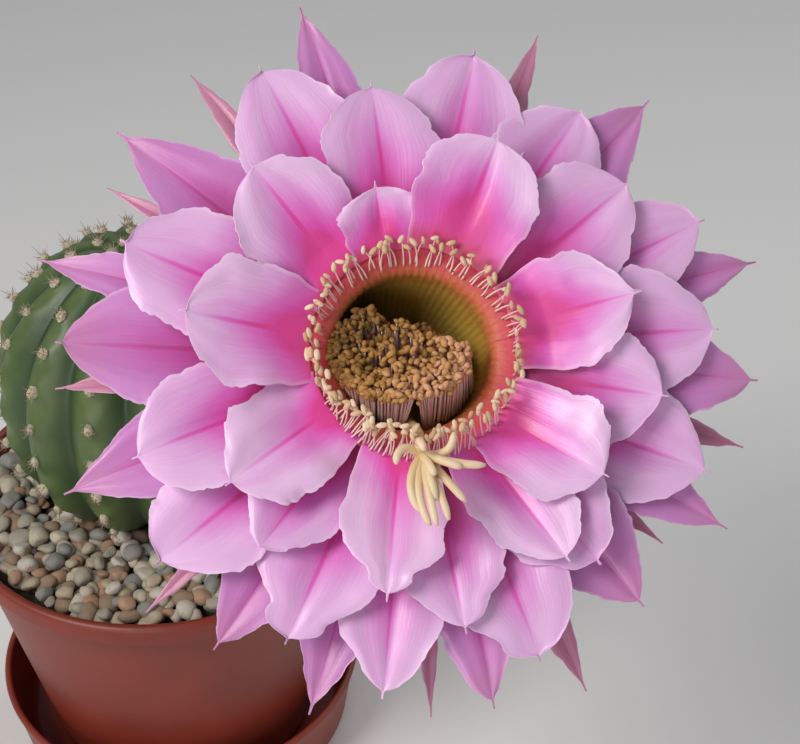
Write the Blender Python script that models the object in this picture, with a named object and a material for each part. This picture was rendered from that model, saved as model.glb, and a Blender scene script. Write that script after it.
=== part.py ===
"""Potted round cactus with one large open flower.

A ribbed globe cactus stands in gravel in a tapered plastic pot on its saucer. A long tube leaves
its upper side and opens into one wide flower: a funnel with two sets of stamens, a style with its
stigma, and about fifty petals, each its own solid. Sizes are in millimetres in this file and are
turned into metres when a mesh is made. +Z is up, and the origin is the centre of the saucer's
underside.
"""

import math

import bpy
from mathutils import Vector

MM = 0.001
GAP = 0.4

# Saucer and pot
SAUCER_BASE_R = 53.5
SAUCER_LIP_R = 57.5
SAUCER_H = 24.0
SAUCER_WALL = 1.6
SAUCER_FLOOR = 2.4
POT_FOOT_Z = SAUCER_FLOOR + GAP
POT_TOP_Z = 92.0
POT_BASE_R = 42.5
POT_LIP_R = 62.0
POT_LIP_H = 6.5
POT_WALL = 1.8
DRAIN_R = 4.0
DRAIN_CIRCLE_R = 24.0
DRAIN_COUNT = 4
POT_SEGMENTS = 48

# Soil, gravel and cactus body
SOIL_TOP_Z = 83.8
GRAVEL_TOP_Z = 88.0
GRAVEL_BUMP = 0.5
GRAVEL_BUMPS_ROUND = 12
GRAVEL_INNER_R = 28.5
GRAVEL_CREST_RADII = (46.0, 40.0, 34.0)
BODY_CENTRE = Vector((-3.0, 9.0, 127.0))
BODY_R = 43.5
BODY_BASE_Z = SOIL_TOP_Z + GAP
BODY_LOWER_POWER = 2.6
BODY_UPPER_POWER = 2.05
RIBS = 14
RIB_DEPTH = 5.0
RIB_FADE_R = 0.75 * BODY_R
CROWN_DIMPLE = 3.0
CROWN_DIMPLE_R = 0.35 * BODY_R
CROWN_LEVEL = 0.975
STEPS_PER_RIB = 4
BODY_LEVELS = 13

# Flower: the centre of its mouth and the way it faces
FLOWER_CENTRE = Vector((74.7, -83.9, POT_TOP_Z + 109.0))
FLOWER_RISE = math.radians(46)
FLOWER_TURN = math.radians(11)
AXIS = Vector((
    math.cos(FLOWER_RISE) * math.sin(FLOWER_TURN),
    -math.cos(FLOWER_RISE) * math.cos(FLOWER_TURN),
    math.sin(FLOWER_RISE),
))
SIDE = Vector((math.cos(FLOWER_TURN), math.sin(FLOWER_TURN), 0))
UPWARD = AXIS.cross(SIDE)

# Tube: it leaves the body along TUBE_START_WAY and runs straight for TUBE_STRAIGHT to the mouth
TUBE_START_WAY = Vector((0.66, -0.50, 0.56)).normalized()
TUBE_STRAIGHT = 40.0
TUBE_FOOT_PULL = 34.0
TUBE_END_OUT = 4.1
TUBE_HEAD_PULL = 26.0
TUBE_KNEE = FLOWER_CENTRE - AXIS * TUBE_STRAIGHT
TUBE_FOOT = BODY_CENTRE + TUBE_START_WAY * (BODY_R - RIB_DEPTH + 1.0)
TUBE_LENGTH = TUBE_STRAIGHT + (TUBE_KNEE - TUBE_FOOT).length
TUBE_SEGMENTS = 28
MOUTH_R = 25.1
CUP_DEPTH = 14.0
CUP_TAPER = 0.25
STALK_R = 8.2
STALK_REACH = 26.0
STALK_POWER = 1.25
THROAT_DEPTH = 46.0
# Distances back from the mouth: of the tube's rings, and with its radius each ring of the throat
TUBE_RING_BACKS = (0.6, 7, 14, 20, 27, 35, 45, 56, 68, 80)
THROAT = ((0.1, 24.2), (1.6, 20.7), (6.5, 17.6), (14, 15.6), (24, 12.6), (34, 9.0),
          (THROAT_DEPTH, 4.5))

# Petals: one family of nested bowls. Level 0 is the innermost and stands up most.
PETAL_FOOT_R = 25.6
PETAL_THICK = 0.6
FAMILY_SPAN = 55.0
FOOT_STEP = 1.4
CLIMB = 27.0
CLIMB_STEP = 2.0
DROOP = 12.0
PETAL_SHARES = (0.0, 0.22, 0.42, 0.60, 0.76, 0.89, 0.96, 1.0)
PETAL_ACROSS = (-1.0, -0.55, 0.0, 0.55, 1.0)
NARROW_ACROSS = (-1.0, 0.0, 1.0)
NARROW_WIDTH = 12

# Angle round the mouth from the flower's right-hand side (degrees), reach from the axis (mm),
# width (mm), level, pointedness (0 round, 1 tapering to a long point).
INNER_PETALS = (
    (98, 38, 19, 0.6, 0.2),
    (61, 50, 28, 0.0, 0.2),
    (7, 52, 26, 1.0, 0.3),
    (316, 50, 25, 0.0, 0.2),
    (297, 57, 22, 2.0, 0.3),
    (254, 56, 23, 1.0, 0.5),
    (209, 52, 25, 1.0, 0.3),
    (166, 52, 28, 0.0, 0.3),
    (126, 54, 27, 1.4, 0.1),
)
MIDDLE_PETALS = (
    (92, 61, 27, 3.0, 0.1),
    (71, 72, 30, 4.0, 0.1),
    (48, 71, 28, 4.8, 0.2),
    (30, 63, 28, 3.0, 0.1),
    (17, 75, 24, 4.8, 0.3),
    (358, 70, 29, 4.0, 0.1),
    (342, 57, 26, 2.5, 0.1),
    (330, 72, 27, 4.7, 0.1),
    (303, 62, 26, 3.0, 0.1),
    (285, 73, 27, 4.0, 0.1),
    (271, 63, 24, 3.0, 0.3),
    (257, 76, 25, 5.0, 0.3),
    (239, 70, 26, 4.0, 0.2),
    (225, 57, 21, 3.0, 0.3),
    (213, 73, 28, 4.7, 0.1),
    (194, 66, 27, 3.0, 0.2),
    (155, 68, 28, 3.0, 0.2),
    (111, 73, 28, 4.0, 0.1),
)
OUTER_PETALS = (
    (99, 86, 18, 6.0, 0.9),
    (39, 85, 22, 6.0, 0.8),
    (9, 86, 18, 6.0, 0.9),
    (349, 80, 23, 5.3, 0.5),
    (324, 82, 18, 6.0, 0.8),
    (305, 76, 24, 5.4, 0.4),
    (276, 80, 21, 6.0, 0.6),
    (247, 82, 19, 7.0, 0.8),
    (229, 78, 21, 6.0, 0.6),
    (195, 82, 22, 6.0, 0.8),
    (173, 78, 28, 5.2, 0.3),
    (158, 86, 15, 7.0, 0.9),
    (136, 83, 24, 6.0, 0.7),
)
SMALL_TEPALS = (
    (119, 84, 8, 8.0, 1.0),
    (143, 79, 6, 8.0, 1.0),
    (178, 79, 8, 8.0, 1.0),
    (217, 81, 6, 8.0, 1.0),
    (266, 80, 6, 8.0, 1.0),
    (291, 85, 11, 8.0, 1.0),
    (317, 72, 6, 8.0, 1.0),
    (339, 82, 10, 8.0, 1.0),
    (60, 88, 9, 8.0, 1.0),
)

# Stamens, style and stigma, as places in the flower's frame: to its right, up, and out along
# its axis
BUNCH_FOOT = (-1.0, -3.0, -24.0)
BUNCH_HEAD = (-2.6, 1.2, 3.0)
BUNCH_SHAPE = ((0.0, 6.0), (0.35, 8.4), (0.7, 12.2), (0.9, 14.6), (1.02, 14.2), (1.1, 9.0))
STAMEN_RING_SECTION = ((20.6, -0.2), (23.4, 1.4), (24.6, 5.6), (22.6, 6.4), (20.2, 3.4))
STAMEN_RING_SEGMENTS = 40
STYLE_R = 1.1
STYLE_POINTS = (
    (0.0, -2.0, -44.0),
    (-0.6, -6.4, -34.0),
    (-1.2, -10.8, -22.0),
    (-1.8, -14.9, -10.0),
    (-2.2, -17.6, 0.0),
    (-2.4, -19.6, 7.4),
    (-2.2, -23.0, 11.6),
)
STIGMA_FOOT = (-2.0, -23.8, 12.4)
STIGMA_TIP = (0.8, -32.6, 15.6)
STIGMA_SHAPE = ((0.0, 1.3), (0.35, 2.6), (0.75, 4.8), (1.0, 5.8))
STIGMA_LOBES = 11
STIGMA_HOLLOW = 0.7


def clear_scene():
    for old in list(bpy.data.objects):
        bpy.data.objects.remove(old, do_unlink=True)


def material(name, colour, roughness, metallic=0.0):
    made = bpy.data.materials.new(name)
    made.use_nodes = True
    shader = made.node_tree.nodes["Principled BSDF"]
    shader.inputs["Base Color"].default_value = (*colour, 1.0)
    shader.inputs["Roughness"].default_value = roughness
    shader.inputs["Metallic"].default_value = metallic
    return made


def add_object(name, points, faces, look):
    """A smooth-shaded mesh object from points in millimetres."""
    mesh = bpy.data.meshes.new(name)
    mesh.from_pydata([Vector(p) * MM for p in points], [], faces)
    mesh.materials.append(look)
    mesh.shade_smooth()
    mesh.set_sharp_from_angle(angle=math.radians(40))
    made = bpy.data.objects.new(name, mesh)
    bpy.context.scene.collection.objects.link(made)
    return made


def ring_faces(rings, count):
    """Quads between consecutive closed rings of count points each."""
    faces = []
    for ring in range(rings - 1):
        for i in range(count):
            j = (i + 1) % count
            low, high = ring * count, (ring + 1) * count
            faces.append((low + i, low + j, high + j, high + i))
    return faces


def lathe(name, profile, look, segments=POT_SEGMENTS):
    """Turns a profile of (radius, height) round Z. The profile starts and ends on the axis."""
    points = [(0, 0, profile[0][1])]
    rings = profile[1:-1]
    for radius, height in rings:
        for i in range(segments):
            turn = math.tau * i / segments
            points.append((radius * math.cos(turn), radius * math.sin(turn), height))
    points.append((0, 0, profile[-1][1]))
    faces = [tuple(n + 1 for n in face) for face in ring_faces(len(rings), segments)]
    last = len(points) - 1
    first_of_last = last - segments
    for i in range(segments):
        j = (i + 1) % segments
        faces.append((0, 1 + j, 1 + i))
        faces.append((last, first_of_last + i, first_of_last + j))
    return add_object(name, points, faces, look)


def arc(centre_r, centre_z, radius, start, end, steps):
    """Points of a rounded edge, with angles in degrees from the outward direction."""
    points = []
    for i in range(steps + 1):
        turn = math.radians(start + (end - start) * i / steps)
        points.append((centre_r + radius * math.cos(turn), centre_z + radius * math.sin(turn)))
    return points


# ---------------------------------------------------------------- saucer, pot, soil, gravel


def make_saucer(look):
    lip = SAUCER_WALL / 2
    foot_r = SAUCER_BASE_R - 2.0
    profile = [
        (0, 0),
        (foot_r, 0),
        (SAUCER_BASE_R, 2.0),
        *arc(SAUCER_LIP_R - lip, SAUCER_H - lip, lip, 0, 180, 4),
        (SAUCER_BASE_R - SAUCER_WALL, 4.0),
        (foot_r - SAUCER_WALL, SAUCER_FLOOR),
        (0, SAUCER_FLOOR),
    ]
    return lathe("saucer", profile, look)


def pot_wall_r(height):
    """Outer radius of the pot's wall below its lip."""
    lip_foot_z = POT_TOP_Z - POT_LIP_H
    share = (height - POT_FOOT_Z) / (lip_foot_z - POT_FOOT_Z)
    return POT_BASE_R + (POT_LIP_R - 3.0 - POT_BASE_R) * share


def make_pot(look):
    lip_foot_z = POT_TOP_Z - POT_LIP_H
    floor_z = POT_FOOT_Z + POT_WALL
    lip_round = 1.4
    profile = [
        (0, POT_FOOT_Z),
        (POT_BASE_R - 1.5, POT_FOOT_Z),
        (POT_BASE_R, POT_FOOT_Z + 1.5),
        (pot_wall_r(lip_foot_z), lip_foot_z),
        (POT_LIP_R - 0.6, lip_foot_z + 0.6),
        *arc(POT_LIP_R - lip_round, POT_TOP_Z - lip_round, lip_round, 0, 180, 5),
        (POT_LIP_R - 3.4, POT_TOP_Z - 3.2),
        (pot_wall_r(lip_foot_z) - POT_WALL, lip_foot_z),
        (POT_BASE_R - POT_WALL, floor_z + 1.0),
        (0, floor_z),
    ]
    pot = lathe("pot", profile, look)
    for i in range(DRAIN_COUNT):
        turn = math.tau * (i + 0.5) / DRAIN_COUNT
        bpy.ops.mesh.primitive_cylinder_add(vertices=16, radius=DRAIN_R * MM, depth=12 * MM)
        cutter = bpy.context.object
        cutter.name = f"drain_cutter_{i + 1}"
        place = Vector((math.cos(turn), math.sin(turn), 0)) * DRAIN_CIRCLE_R
        cutter.location = (place + Vector((0, 0, POT_FOOT_Z))) * MM
        cutter.hide_render = True
        cutter.display_type = "WIRE"
        cut = pot.modifiers.new(f"Drain {i + 1}", "BOOLEAN")
        cut.operation = "DIFFERENCE"
        cut.object = cutter
    return pot


def make_soil(look):
    floor_z = POT_FOOT_Z + POT_WALL + 1.0 + GAP
    inside = POT_WALL + 2 * GAP
    profile = [
        (0, floor_z),
        (pot_wall_r(floor_z) - inside - 1.0, floor_z),
        (pot_wall_r(SOIL_TOP_Z) - inside, SOIL_TOP_Z),
        (0, SOIL_TOP_Z),
    ]
    return lathe("soil", profile, look, segments=40)


def make_gravel(look):
    """A ring of pebbles as one body: flat below, low bumps on top, open round the cactus."""
    segments = 48
    low_z = SOIL_TOP_Z + GAP
    outer_r = pot_wall_r(POT_TOP_Z - POT_LIP_H) - POT_WALL - 2 * GAP - 1.5
    tops = (outer_r, *GRAVEL_CREST_RADII, GRAVEL_INNER_R)
    section = [(outer_r, 0), *((radius, row + 1) for row, radius in enumerate(tops))]
    section.append((GRAVEL_INNER_R, 0))
    points = []
    for radius, row in section:
        shift = BODY_CENTRE * (outer_r - radius) / (outer_r - GRAVEL_INNER_R)
        for i in range(segments):
            turn = math.tau * i / segments
            bump = GRAVEL_BUMP * math.sin(GRAVEL_BUMPS_ROUND * turn + 2.1 * row)
            height = GRAVEL_TOP_Z + bump if row else low_z
            points.append((
                shift.x + radius * math.cos(turn),
                shift.y + radius * math.sin(turn),
                height,
            ))
    faces = ring_faces(len(section), segments)
    last = (len(section) - 1) * segments
    for i in range(segments):
        j = (i + 1) % segments
        faces.append((last + i, last + j, j, i))
    return add_object("gravel", points, faces, look)


# ---------------------------------------------------------------- cactus body


def body_point(turn, level):
    """A point of the ribbed globe: level runs from -1 at its foot to 1 at its crown."""
    height = BODY_R * math.sin(level * math.pi / 2)
    power = BODY_LOWER_POWER if height < 0 else BODY_UPPER_POWER
    radius = BODY_R * max(0.0, 1 - abs(height / BODY_R) ** power) ** (1 / power)
    rib = abs(math.cos(RIBS * turn / 2))
    groove = RIB_DEPTH * (1 - rib) * min(1.0, radius / RIB_FADE_R)
    dimple = CROWN_DIMPLE * max(0.0, 1 - radius / CROWN_DIMPLE_R) if height > 0 else 0.0
    radius -= groove
    return BODY_CENTRE + Vector((
        radius * math.cos(turn),
        radius * math.sin(turn),
        height - dimple,
    ))


def make_cactus_body(look):
    count = RIBS * STEPS_PER_RIB
    lowest = math.asin((BODY_BASE_Z - BODY_CENTRE.z) / BODY_R) / (math.pi / 2)
    climb = (CROWN_LEVEL - lowest) / BODY_LEVELS
    levels = [lowest + climb * k for k in range(BODY_LEVELS + 1)]
    points = [body_point(math.tau * i / count, level) for level in levels for i in range(count)]
    faces = ring_faces(len(levels), count)
    foot = len(points)
    points.append(Vector((BODY_CENTRE.x, BODY_CENTRE.y, BODY_BASE_Z)))
    crown = len(points)
    points.append(BODY_CENTRE + Vector((0, 0, BODY_R - CROWN_DIMPLE - 0.2)))
    top = (len(levels) - 1) * count
    for i in range(count):
        j = (i + 1) % count
        faces.append((foot, j, i))
        faces.append((crown, top + i, top + j))
    return add_object("cactus_body", points, faces, look)


# ---------------------------------------------------------------- flower tube


def flower_point(turn, radius, along):
    """A point at an angle round the flower's axis, a radius from it and a height along it."""
    way = SIDE * math.cos(turn) + UPWARD * math.sin(turn)
    return FLOWER_CENTRE + way * radius + AXIS * along


def tube_outer_r(back):
    """Outer radius at a distance back from the mouth."""
    if back < CUP_DEPTH:
        return MOUTH_R - CUP_TAPER * back
    neck_r = MOUTH_R - CUP_TAPER * CUP_DEPTH
    fall = ((back - CUP_DEPTH) / STALK_REACH) ** STALK_POWER
    return STALK_R + (neck_r - STALK_R) * math.exp(-fall)


def tube_path(share):
    """Centre line from the mouth, share 0, to the body, share 1, and its direction."""
    split = TUBE_STRAIGHT / TUBE_LENGTH
    if share <= split:
        return FLOWER_CENTRE - AXIS * (TUBE_LENGTH * share), -AXIS
    knee, foot = TUBE_KNEE, TUBE_FOOT
    near = knee - AXIS * TUBE_HEAD_PULL
    far = foot + TUBE_START_WAY * TUBE_FOOT_PULL
    t = (share - split) / (1 - split)
    u = 1 - t
    place = knee * u**3 + near * (3 * u * u * t) + far * (3 * u * t * t) + foot * t**3
    way = (near - knee) * (u * u) + (far - near) * (2 * u * t) + (foot - far) * (t * t)
    return place, way.normalized()


def tube_ring(share, radius, inset=0.0):
    place, way = tube_path(share)
    side = (SIDE - way * SIDE.dot(way)).normalized()
    up = way.cross(side)
    ring = []
    for i in range(TUBE_SEGMENTS):
        turn = math.tau * i / TUBE_SEGMENTS
        ring.append(place + way * inset + (side * math.cos(turn) + up * math.sin(turn)) * radius)
    return ring


def make_flower_tube(look):
    rings = [tube_ring(back / TUBE_LENGTH, tube_outer_r(back)) for back in TUBE_RING_BACKS]
    rings.append(tube_ring(1.0, tube_outer_r(TUBE_LENGTH), inset=-TUBE_END_OUT))
    inner = [tube_ring(back / TUBE_LENGTH, radius) for back, radius in THROAT]
    ordered = inner[::-1] + rings
    points = [point for ring in ordered for point in ring]
    faces = ring_faces(len(ordered), TUBE_SEGMENTS)
    pit = len(points)
    points.append(tube_path(THROAT_DEPTH / TUBE_LENGTH)[0])
    end = len(points)
    place, way = tube_path(1.0)
    points.append(place - way * TUBE_END_OUT)
    last = (len(ordered) - 1) * TUBE_SEGMENTS
    for i in range(TUBE_SEGMENTS):
        j = (i + 1) % TUBE_SEGMENTS
        faces.append((pit, j, i))
        faces.append((end, last + i, last + j))
    return add_object("flower_tube", points, faces, look)


# ---------------------------------------------------------------- petals


def family_height(radius, level):
    """Height along the flower's axis of the bowl of this level at a radius from the axis."""
    share = (radius - PETAL_FOOT_R) / FAMILY_SPAN
    return -FOOT_STEP * level + (CLIMB - CLIMB_STEP * level) * share - DROOP * share * share


def half_width(share, width, pointed):
    """Half width of a petal at a share of its length: narrow foot, broad blade, small sharp tip."""
    widest = 0.66 - 0.18 * pointed
    bend = math.log(0.5) / math.log(widest)
    fullness = 0.48 + 0.52 * pointed
    blade_end = 0.97
    blade = math.sin(math.pi * min(share / blade_end, 1.0) ** bend) ** fullness
    foot = 0.50 * (1 - share) ** 1.5
    tip = 0.05 * (1 - share) + 0.012
    return width / 2 * max(blade, foot, tip)


def make_petal(name, angle, reach, width, level, pointed, look):
    turn = math.radians(angle)
    foot_r = PETAL_FOOT_R - 0.35 * level
    across = PETAL_ACROSS if width > NARROW_WIDTH else NARROW_ACROSS
    front, back = [], []
    for share in PETAL_SHARES:
        for place in across:
            along = foot_r + (reach - foot_r) * share
            side = place * half_width(share, width, pointed)
            radius = math.hypot(along, side)
            height = family_height(radius, level)
            swing = turn + math.atan2(side, along)
            front.append(flower_point(swing, radius, height + PETAL_THICK / 2))
            back.append(flower_point(swing, radius, height - PETAL_THICK / 2))
    rows, columns = len(PETAL_SHARES), len(across)
    faces = []
    under = len(front)
    for row in range(rows - 1):
        for column in range(columns - 1):
            a = row * columns + column
            b, c, d = a + 1, a + columns + 1, a + columns
            faces.append((a, d, c, b))
            faces.append((under + a, under + b, under + c, under + d))
    edge = list(range(columns))
    edge += [row * columns + columns - 1 for row in range(1, rows)]
    edge += [(rows - 1) * columns + column for column in range(columns - 2, -1, -1)]
    edge += [row * columns for row in range(rows - 2, 0, -1)]
    for i, a in enumerate(edge):
        b = edge[(i + 1) % len(edge)]
        faces.append((a, b, under + b, under + a))
    return add_object(name, front + back, faces, look)


def make_petals(look, outer_look):
    rows = (
        ("inner_petal", INNER_PETALS, look),
        ("middle_petal", MIDDLE_PETALS, look),
        ("outer_petal", OUTER_PETALS, look),
        ("small_tepal", SMALL_TEPALS, outer_look),
    )
    for kind, table, finish in rows:
        for number, (angle, reach, width, level, pointed) in enumerate(table, 1):
            name = f"{kind}_{number:02d}"
            make_petal(name, angle, reach, width, level, pointed, finish)


# ---------------------------------------------------------------- stamens, style and stigma


def swept(name, stations, look, segments=16):
    """A closed body through circles: each station is a centre, a direction and a radius."""
    points = []
    for centre, way, radius in stations:
        side = way.cross(SIDE).normalized()
        up = way.cross(side)
        for i in range(segments):
            turn = math.tau * i / segments
            points.append(centre + (side * math.cos(turn) + up * math.sin(turn)) * radius)
    faces = ring_faces(len(stations), segments)
    first, last = len(points), len(points) + 1
    points += [stations[0][0], stations[-1][0]]
    end = (len(stations) - 1) * segments
    for i in range(segments):
        j = (i + 1) % segments
        faces.append((first, j, i))
        faces.append((last, end + i, end + j))
    return add_object(name, points, faces, look)


def inside_flower(side, up, along):
    return FLOWER_CENTRE + SIDE * side + UPWARD * up + AXIS * along


def make_stamen_bunch(look):
    """The dense inner bunch of stamens, leaning up from the lower wall of the throat."""
    foot = inside_flower(*BUNCH_FOOT)
    head = inside_flower(*BUNCH_HEAD)
    way = (head - foot).normalized()
    length = (head - foot).length
    stations = [(foot + way * (length * share), way, radius) for share, radius in BUNCH_SHAPE]
    return swept("stamen_bunch", stations, look, segments=24)


def make_stamen_ring(look):
    """The ring of shorter stamens round the mouth, as one band."""
    points = []
    for i in range(STAMEN_RING_SEGMENTS):
        turn = math.tau * i / STAMEN_RING_SEGMENTS
        points += [flower_point(turn, radius, along) for radius, along in STAMEN_RING_SECTION]
    count = len(STAMEN_RING_SECTION)
    faces = []
    for i in range(STAMEN_RING_SEGMENTS):
        low, high = i * count, (i + 1) % STAMEN_RING_SEGMENTS * count
        for k in range(count):
            n = (k + 1) % count
            faces.append((low + k, high + k, high + n, low + n))
    return add_object("stamen_ring", points, faces, look)


def make_style(look):
    places = [inside_flower(*point) for point in STYLE_POINTS]
    stations = []
    for i, place in enumerate(places):
        before, after = places[max(i - 1, 0)], places[min(i + 1, len(places) - 1)]
        stations.append((place, (after - before).normalized(), STYLE_R))
    return swept("style", stations, look, segments=10)


def make_stigma(look):
    """The head of the style: a fluted bell of lobes."""
    foot = inside_flower(*STIGMA_FOOT)
    tip = inside_flower(*STIGMA_TIP)
    way = (tip - foot).normalized()
    length = (tip - foot).length
    per_lobe = 3
    count = STIGMA_LOBES * per_lobe
    side = way.cross(SIDE).normalized()
    up = way.cross(side)
    points = []
    for share, radius in STIGMA_SHAPE:
        for i in range(count):
            turn = math.tau * i / count
            reach = radius * (1 - 0.22 * share * (i % per_lobe == 0))
            spot = (side * math.cos(turn) + up * math.sin(turn)) * reach
            points.append(foot + way * (length * share) + spot)
    faces = ring_faces(len(STIGMA_SHAPE), count)
    first, last = len(points), len(points) + 1
    points += [foot, foot + way * (length * STIGMA_HOLLOW)]
    end = (len(STIGMA_SHAPE) - 1) * count
    for i in range(count):
        j = (i + 1) % count
        faces.append((first, j, i))
        faces.append((last, end + i, end + j))
    return add_object("stigma", points, faces, look)


def main():
    clear_scene()
    terracotta = material("terracotta_plastic", (0.24, 0.035, 0.019), 0.45)
    make_saucer(terracotta)
    make_pot(terracotta)
    make_soil(material("soil", (0.05, 0.03, 0.02), 0.95))
    make_gravel(material("gravel", (0.45, 0.37, 0.28), 0.8))
    make_cactus_body(material("cactus_skin", (0.05, 0.11, 0.035), 0.5))
    make_flower_tube(material("tube_skin", (0.22, 0.26, 0.12), 0.6))
    pink = material("petal", (0.78, 0.36, 0.64), 0.50)
    make_petals(pink, material("tepal", (0.50, 0.14, 0.24), 0.55))
    pale = material("pollen", (0.85, 0.74, 0.48), 0.7)
    make_stamen_bunch(pale)
    make_stamen_ring(pale)
    style_look = material("style", (0.88, 0.84, 0.58), 0.5)
    make_style(style_look)
    make_stigma(style_look)


main()
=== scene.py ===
import math

import bmesh
import bpy
import numpy as np
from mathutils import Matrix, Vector


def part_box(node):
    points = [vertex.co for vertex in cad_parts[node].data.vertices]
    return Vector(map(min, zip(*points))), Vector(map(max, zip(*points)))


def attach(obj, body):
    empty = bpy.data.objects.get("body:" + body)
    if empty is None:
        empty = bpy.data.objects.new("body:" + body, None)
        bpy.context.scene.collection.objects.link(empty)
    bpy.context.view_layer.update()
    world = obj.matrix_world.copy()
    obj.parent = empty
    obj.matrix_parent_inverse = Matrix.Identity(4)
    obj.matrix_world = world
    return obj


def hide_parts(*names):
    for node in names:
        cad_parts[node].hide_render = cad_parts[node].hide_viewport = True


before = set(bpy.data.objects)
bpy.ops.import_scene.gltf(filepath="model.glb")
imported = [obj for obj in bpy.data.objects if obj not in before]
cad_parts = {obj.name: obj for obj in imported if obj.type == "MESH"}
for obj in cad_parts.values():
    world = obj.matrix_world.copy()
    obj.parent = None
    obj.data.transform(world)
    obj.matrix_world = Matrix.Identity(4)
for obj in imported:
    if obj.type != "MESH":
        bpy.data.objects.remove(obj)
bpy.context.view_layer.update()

MM = 0.001

# ---------------------------------------------------------------- sizes, in millimetres
# The pot and the body are read from the frame. The flower's own frame comes from the stamen ring:
# its plane faces along the flower's axis, a little in front of the mouth's centre.


def node_points(name):
    """The vertices of a CAD node, in millimetres."""
    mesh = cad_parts[name].data
    points = np.zeros(len(mesh.vertices) * 3)
    mesh.vertices.foreach_get("co", points)
    return points.reshape(-1, 3) / MM


def unit(vectors):
    vectors = np.asarray(vectors, float)
    return vectors / np.maximum(np.linalg.norm(vectors, axis=-1, keepdims=True), 1e-12)


POT_LOW, POT_HIGH = (np.array(corner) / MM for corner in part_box("pot"))
SAUCER_HIGH = np.array(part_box("saucer")[1]) / MM
GRAVEL_LOW, GRAVEL_HIGH = (np.array(corner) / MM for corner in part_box("gravel"))
BODY_FOOT_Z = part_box("cactus_body")[0][2] / MM
RIM_Z = POT_HIGH[2]

RING_POINTS = np.unique(node_points("stamen_ring").round(4), axis=0)
# How far the ring's mean lies in front of the mouth
RING_MEAN_ALONG = 3.32
AXIS = np.linalg.svd(RING_POINTS - RING_POINTS.mean(axis=0))[2][2]
AXIS *= np.sign(AXIS[2])
SIDE = unit(np.cross([0, 0, 1], AXIS))
UPWARD = np.cross(AXIS, SIDE)
MOUTH = RING_POINTS.mean(axis=0) - AXIS * RING_MEAN_ALONG

# Camera: the pot's rim seen from 36 degrees above, with the flower in front of it
CAMERA_FROM_RIM = (71.4, -370.0, 310.7)
CAMERA_DOWN = math.radians(36)
CAMERA_LENS = 71.4

# Globe body
RIBS = 14
RIB_DEPTH = 5.0
BODY_R = 43.5
BODY_CENTRE = np.array([-3.0, 9.0, BODY_FOOT_Z + 42.8])
AREOLES_PER_RIB = 12
STAR_SPINES = 7
HAIRS_AN_AREOLE = 40

# Flower tube: it leaves the body along TUBE_START_WAY, bends, and is straight from its knee to the
# mouth
TUBE_START_WAY = unit([0.66, -0.50, 0.56])
TUBE_STRAIGHT = 40.0
TUBE_FOOT_PULL = 34.0
TUBE_HEAD_PULL = 26.0
TUBE_FOOT = BODY_CENTRE + TUBE_START_WAY * (BODY_R - RIB_DEPTH + 1.0)
TUBE_KNEE = MOUTH - AXIS * TUBE_STRAIGHT
TUBE_LENGTH = TUBE_STRAIGHT + np.linalg.norm(TUBE_KNEE - TUBE_FOOT)
TUBE_R = 8.2
MOUTH_R = 25.1
# Back to here the tube narrows evenly, and then towards TUBE_R
FLARE_BACK = 14
# The throat from its deep end to the lip: distance back, radius and share of its colours,
# coral at the lip and then olive that darkens deeper in as painted shade
THROAT = (
    (46.0, 0.6, 1.0), (46.0, 3.0, 1.0), (42.0, 6.2, 0.95), (34.0, 10.0, 0.80), (26.0, 13.6, 0.60),
    (20.0, 15.8, 0.45), (15.0, 16.8, 0.33), (10.0, 17.3, 0.24), (7.0, 17.5, 0.19),
    (5.0, 17.6, 0.165), (3.8, 17.8, 0.14), (2.9, 18.3, 0.12), (2.2, 19.2, 0.095),
    (1.7, 20.4, 0.07), (1.3, 21.8, 0.045), (1.0, 23.2, 0.02), (0.9, 24.2, 0.01), (1.1, 24.8, 0.0),
)
THROAT_RIBS = 66
TUBE_RIBS = 13
# The side of the throat's wall painted as lit, with painted shade on the far side, as an angle
# from SIDE towards UPWARD
PAINTED_LIGHT_TURN = math.radians(8)
# The scales on the tube: their number, the turn from one to the next, the points along and across
# each, and the hairs at its foot
SCALES = 74
GOLDEN_TURN = math.pi * (3 - math.sqrt(5))
SCALE_GRID = (9, 5)
HAIRS_A_SCALE = 16

# Petals: one family of nested bowls, level 0 innermost. A bowl leaves PETAL_FOOT_R, each level
# FOOT_STEP lower and CLIMB_STEP flatter, climbs by CLIMB over FAMILY_SPAN and droops by DROOP
PETAL_FOOT_R = 25.6
FAMILY_SPAN = 55.0
FOOT_STEP = 1.4
CLIMB = 27.0
CLIMB_STEP = 2.0
DROOP = 12.0
# The petals' feet reach this far inward of PETAL_FOOT_R. Those of the inner petals rest on the
# throat's lip, and are back in the bowl SETTLED_BY from there
FOOT_TUCK = 2.4
LIP_ALONG = -0.75
SETTLED_BY = 8.0
# Inner petals pale from foot to tip, and soonest in this direction, from SIDE towards UPWARD,
# where the sooner paling is painted light on the lit side
PAINTED_LIGHT_WAY = math.radians(235)
# The coral of the throat's lip and of the petals' feet
CORAL = (0.64, 0.065, 0.13)
# Points along and across a petal, and a small tepal
PETAL_GRID = (88, 30)
TEPAL_GRID = (30, 12)
# Pointedness, width of the foot as a part of the greatest, place in the flower from 0, innermost,
# to 1, and length of the hair at the tip
PETAL_KINDS = {
    "inner_petal": (0.3, 0.72, 0.0, 1.2),
    "middle_petal": (0.15, 0.66, 0.24, 1.4),
    "outer_petal": (0.8, 0.62, 0.6, 1.2),
    "small_tepal": (0.75, 0.60, 1.0, 1.2),
}
# Notches along each side of a petal's margin
TEETH_A_SIDE = 60
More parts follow.
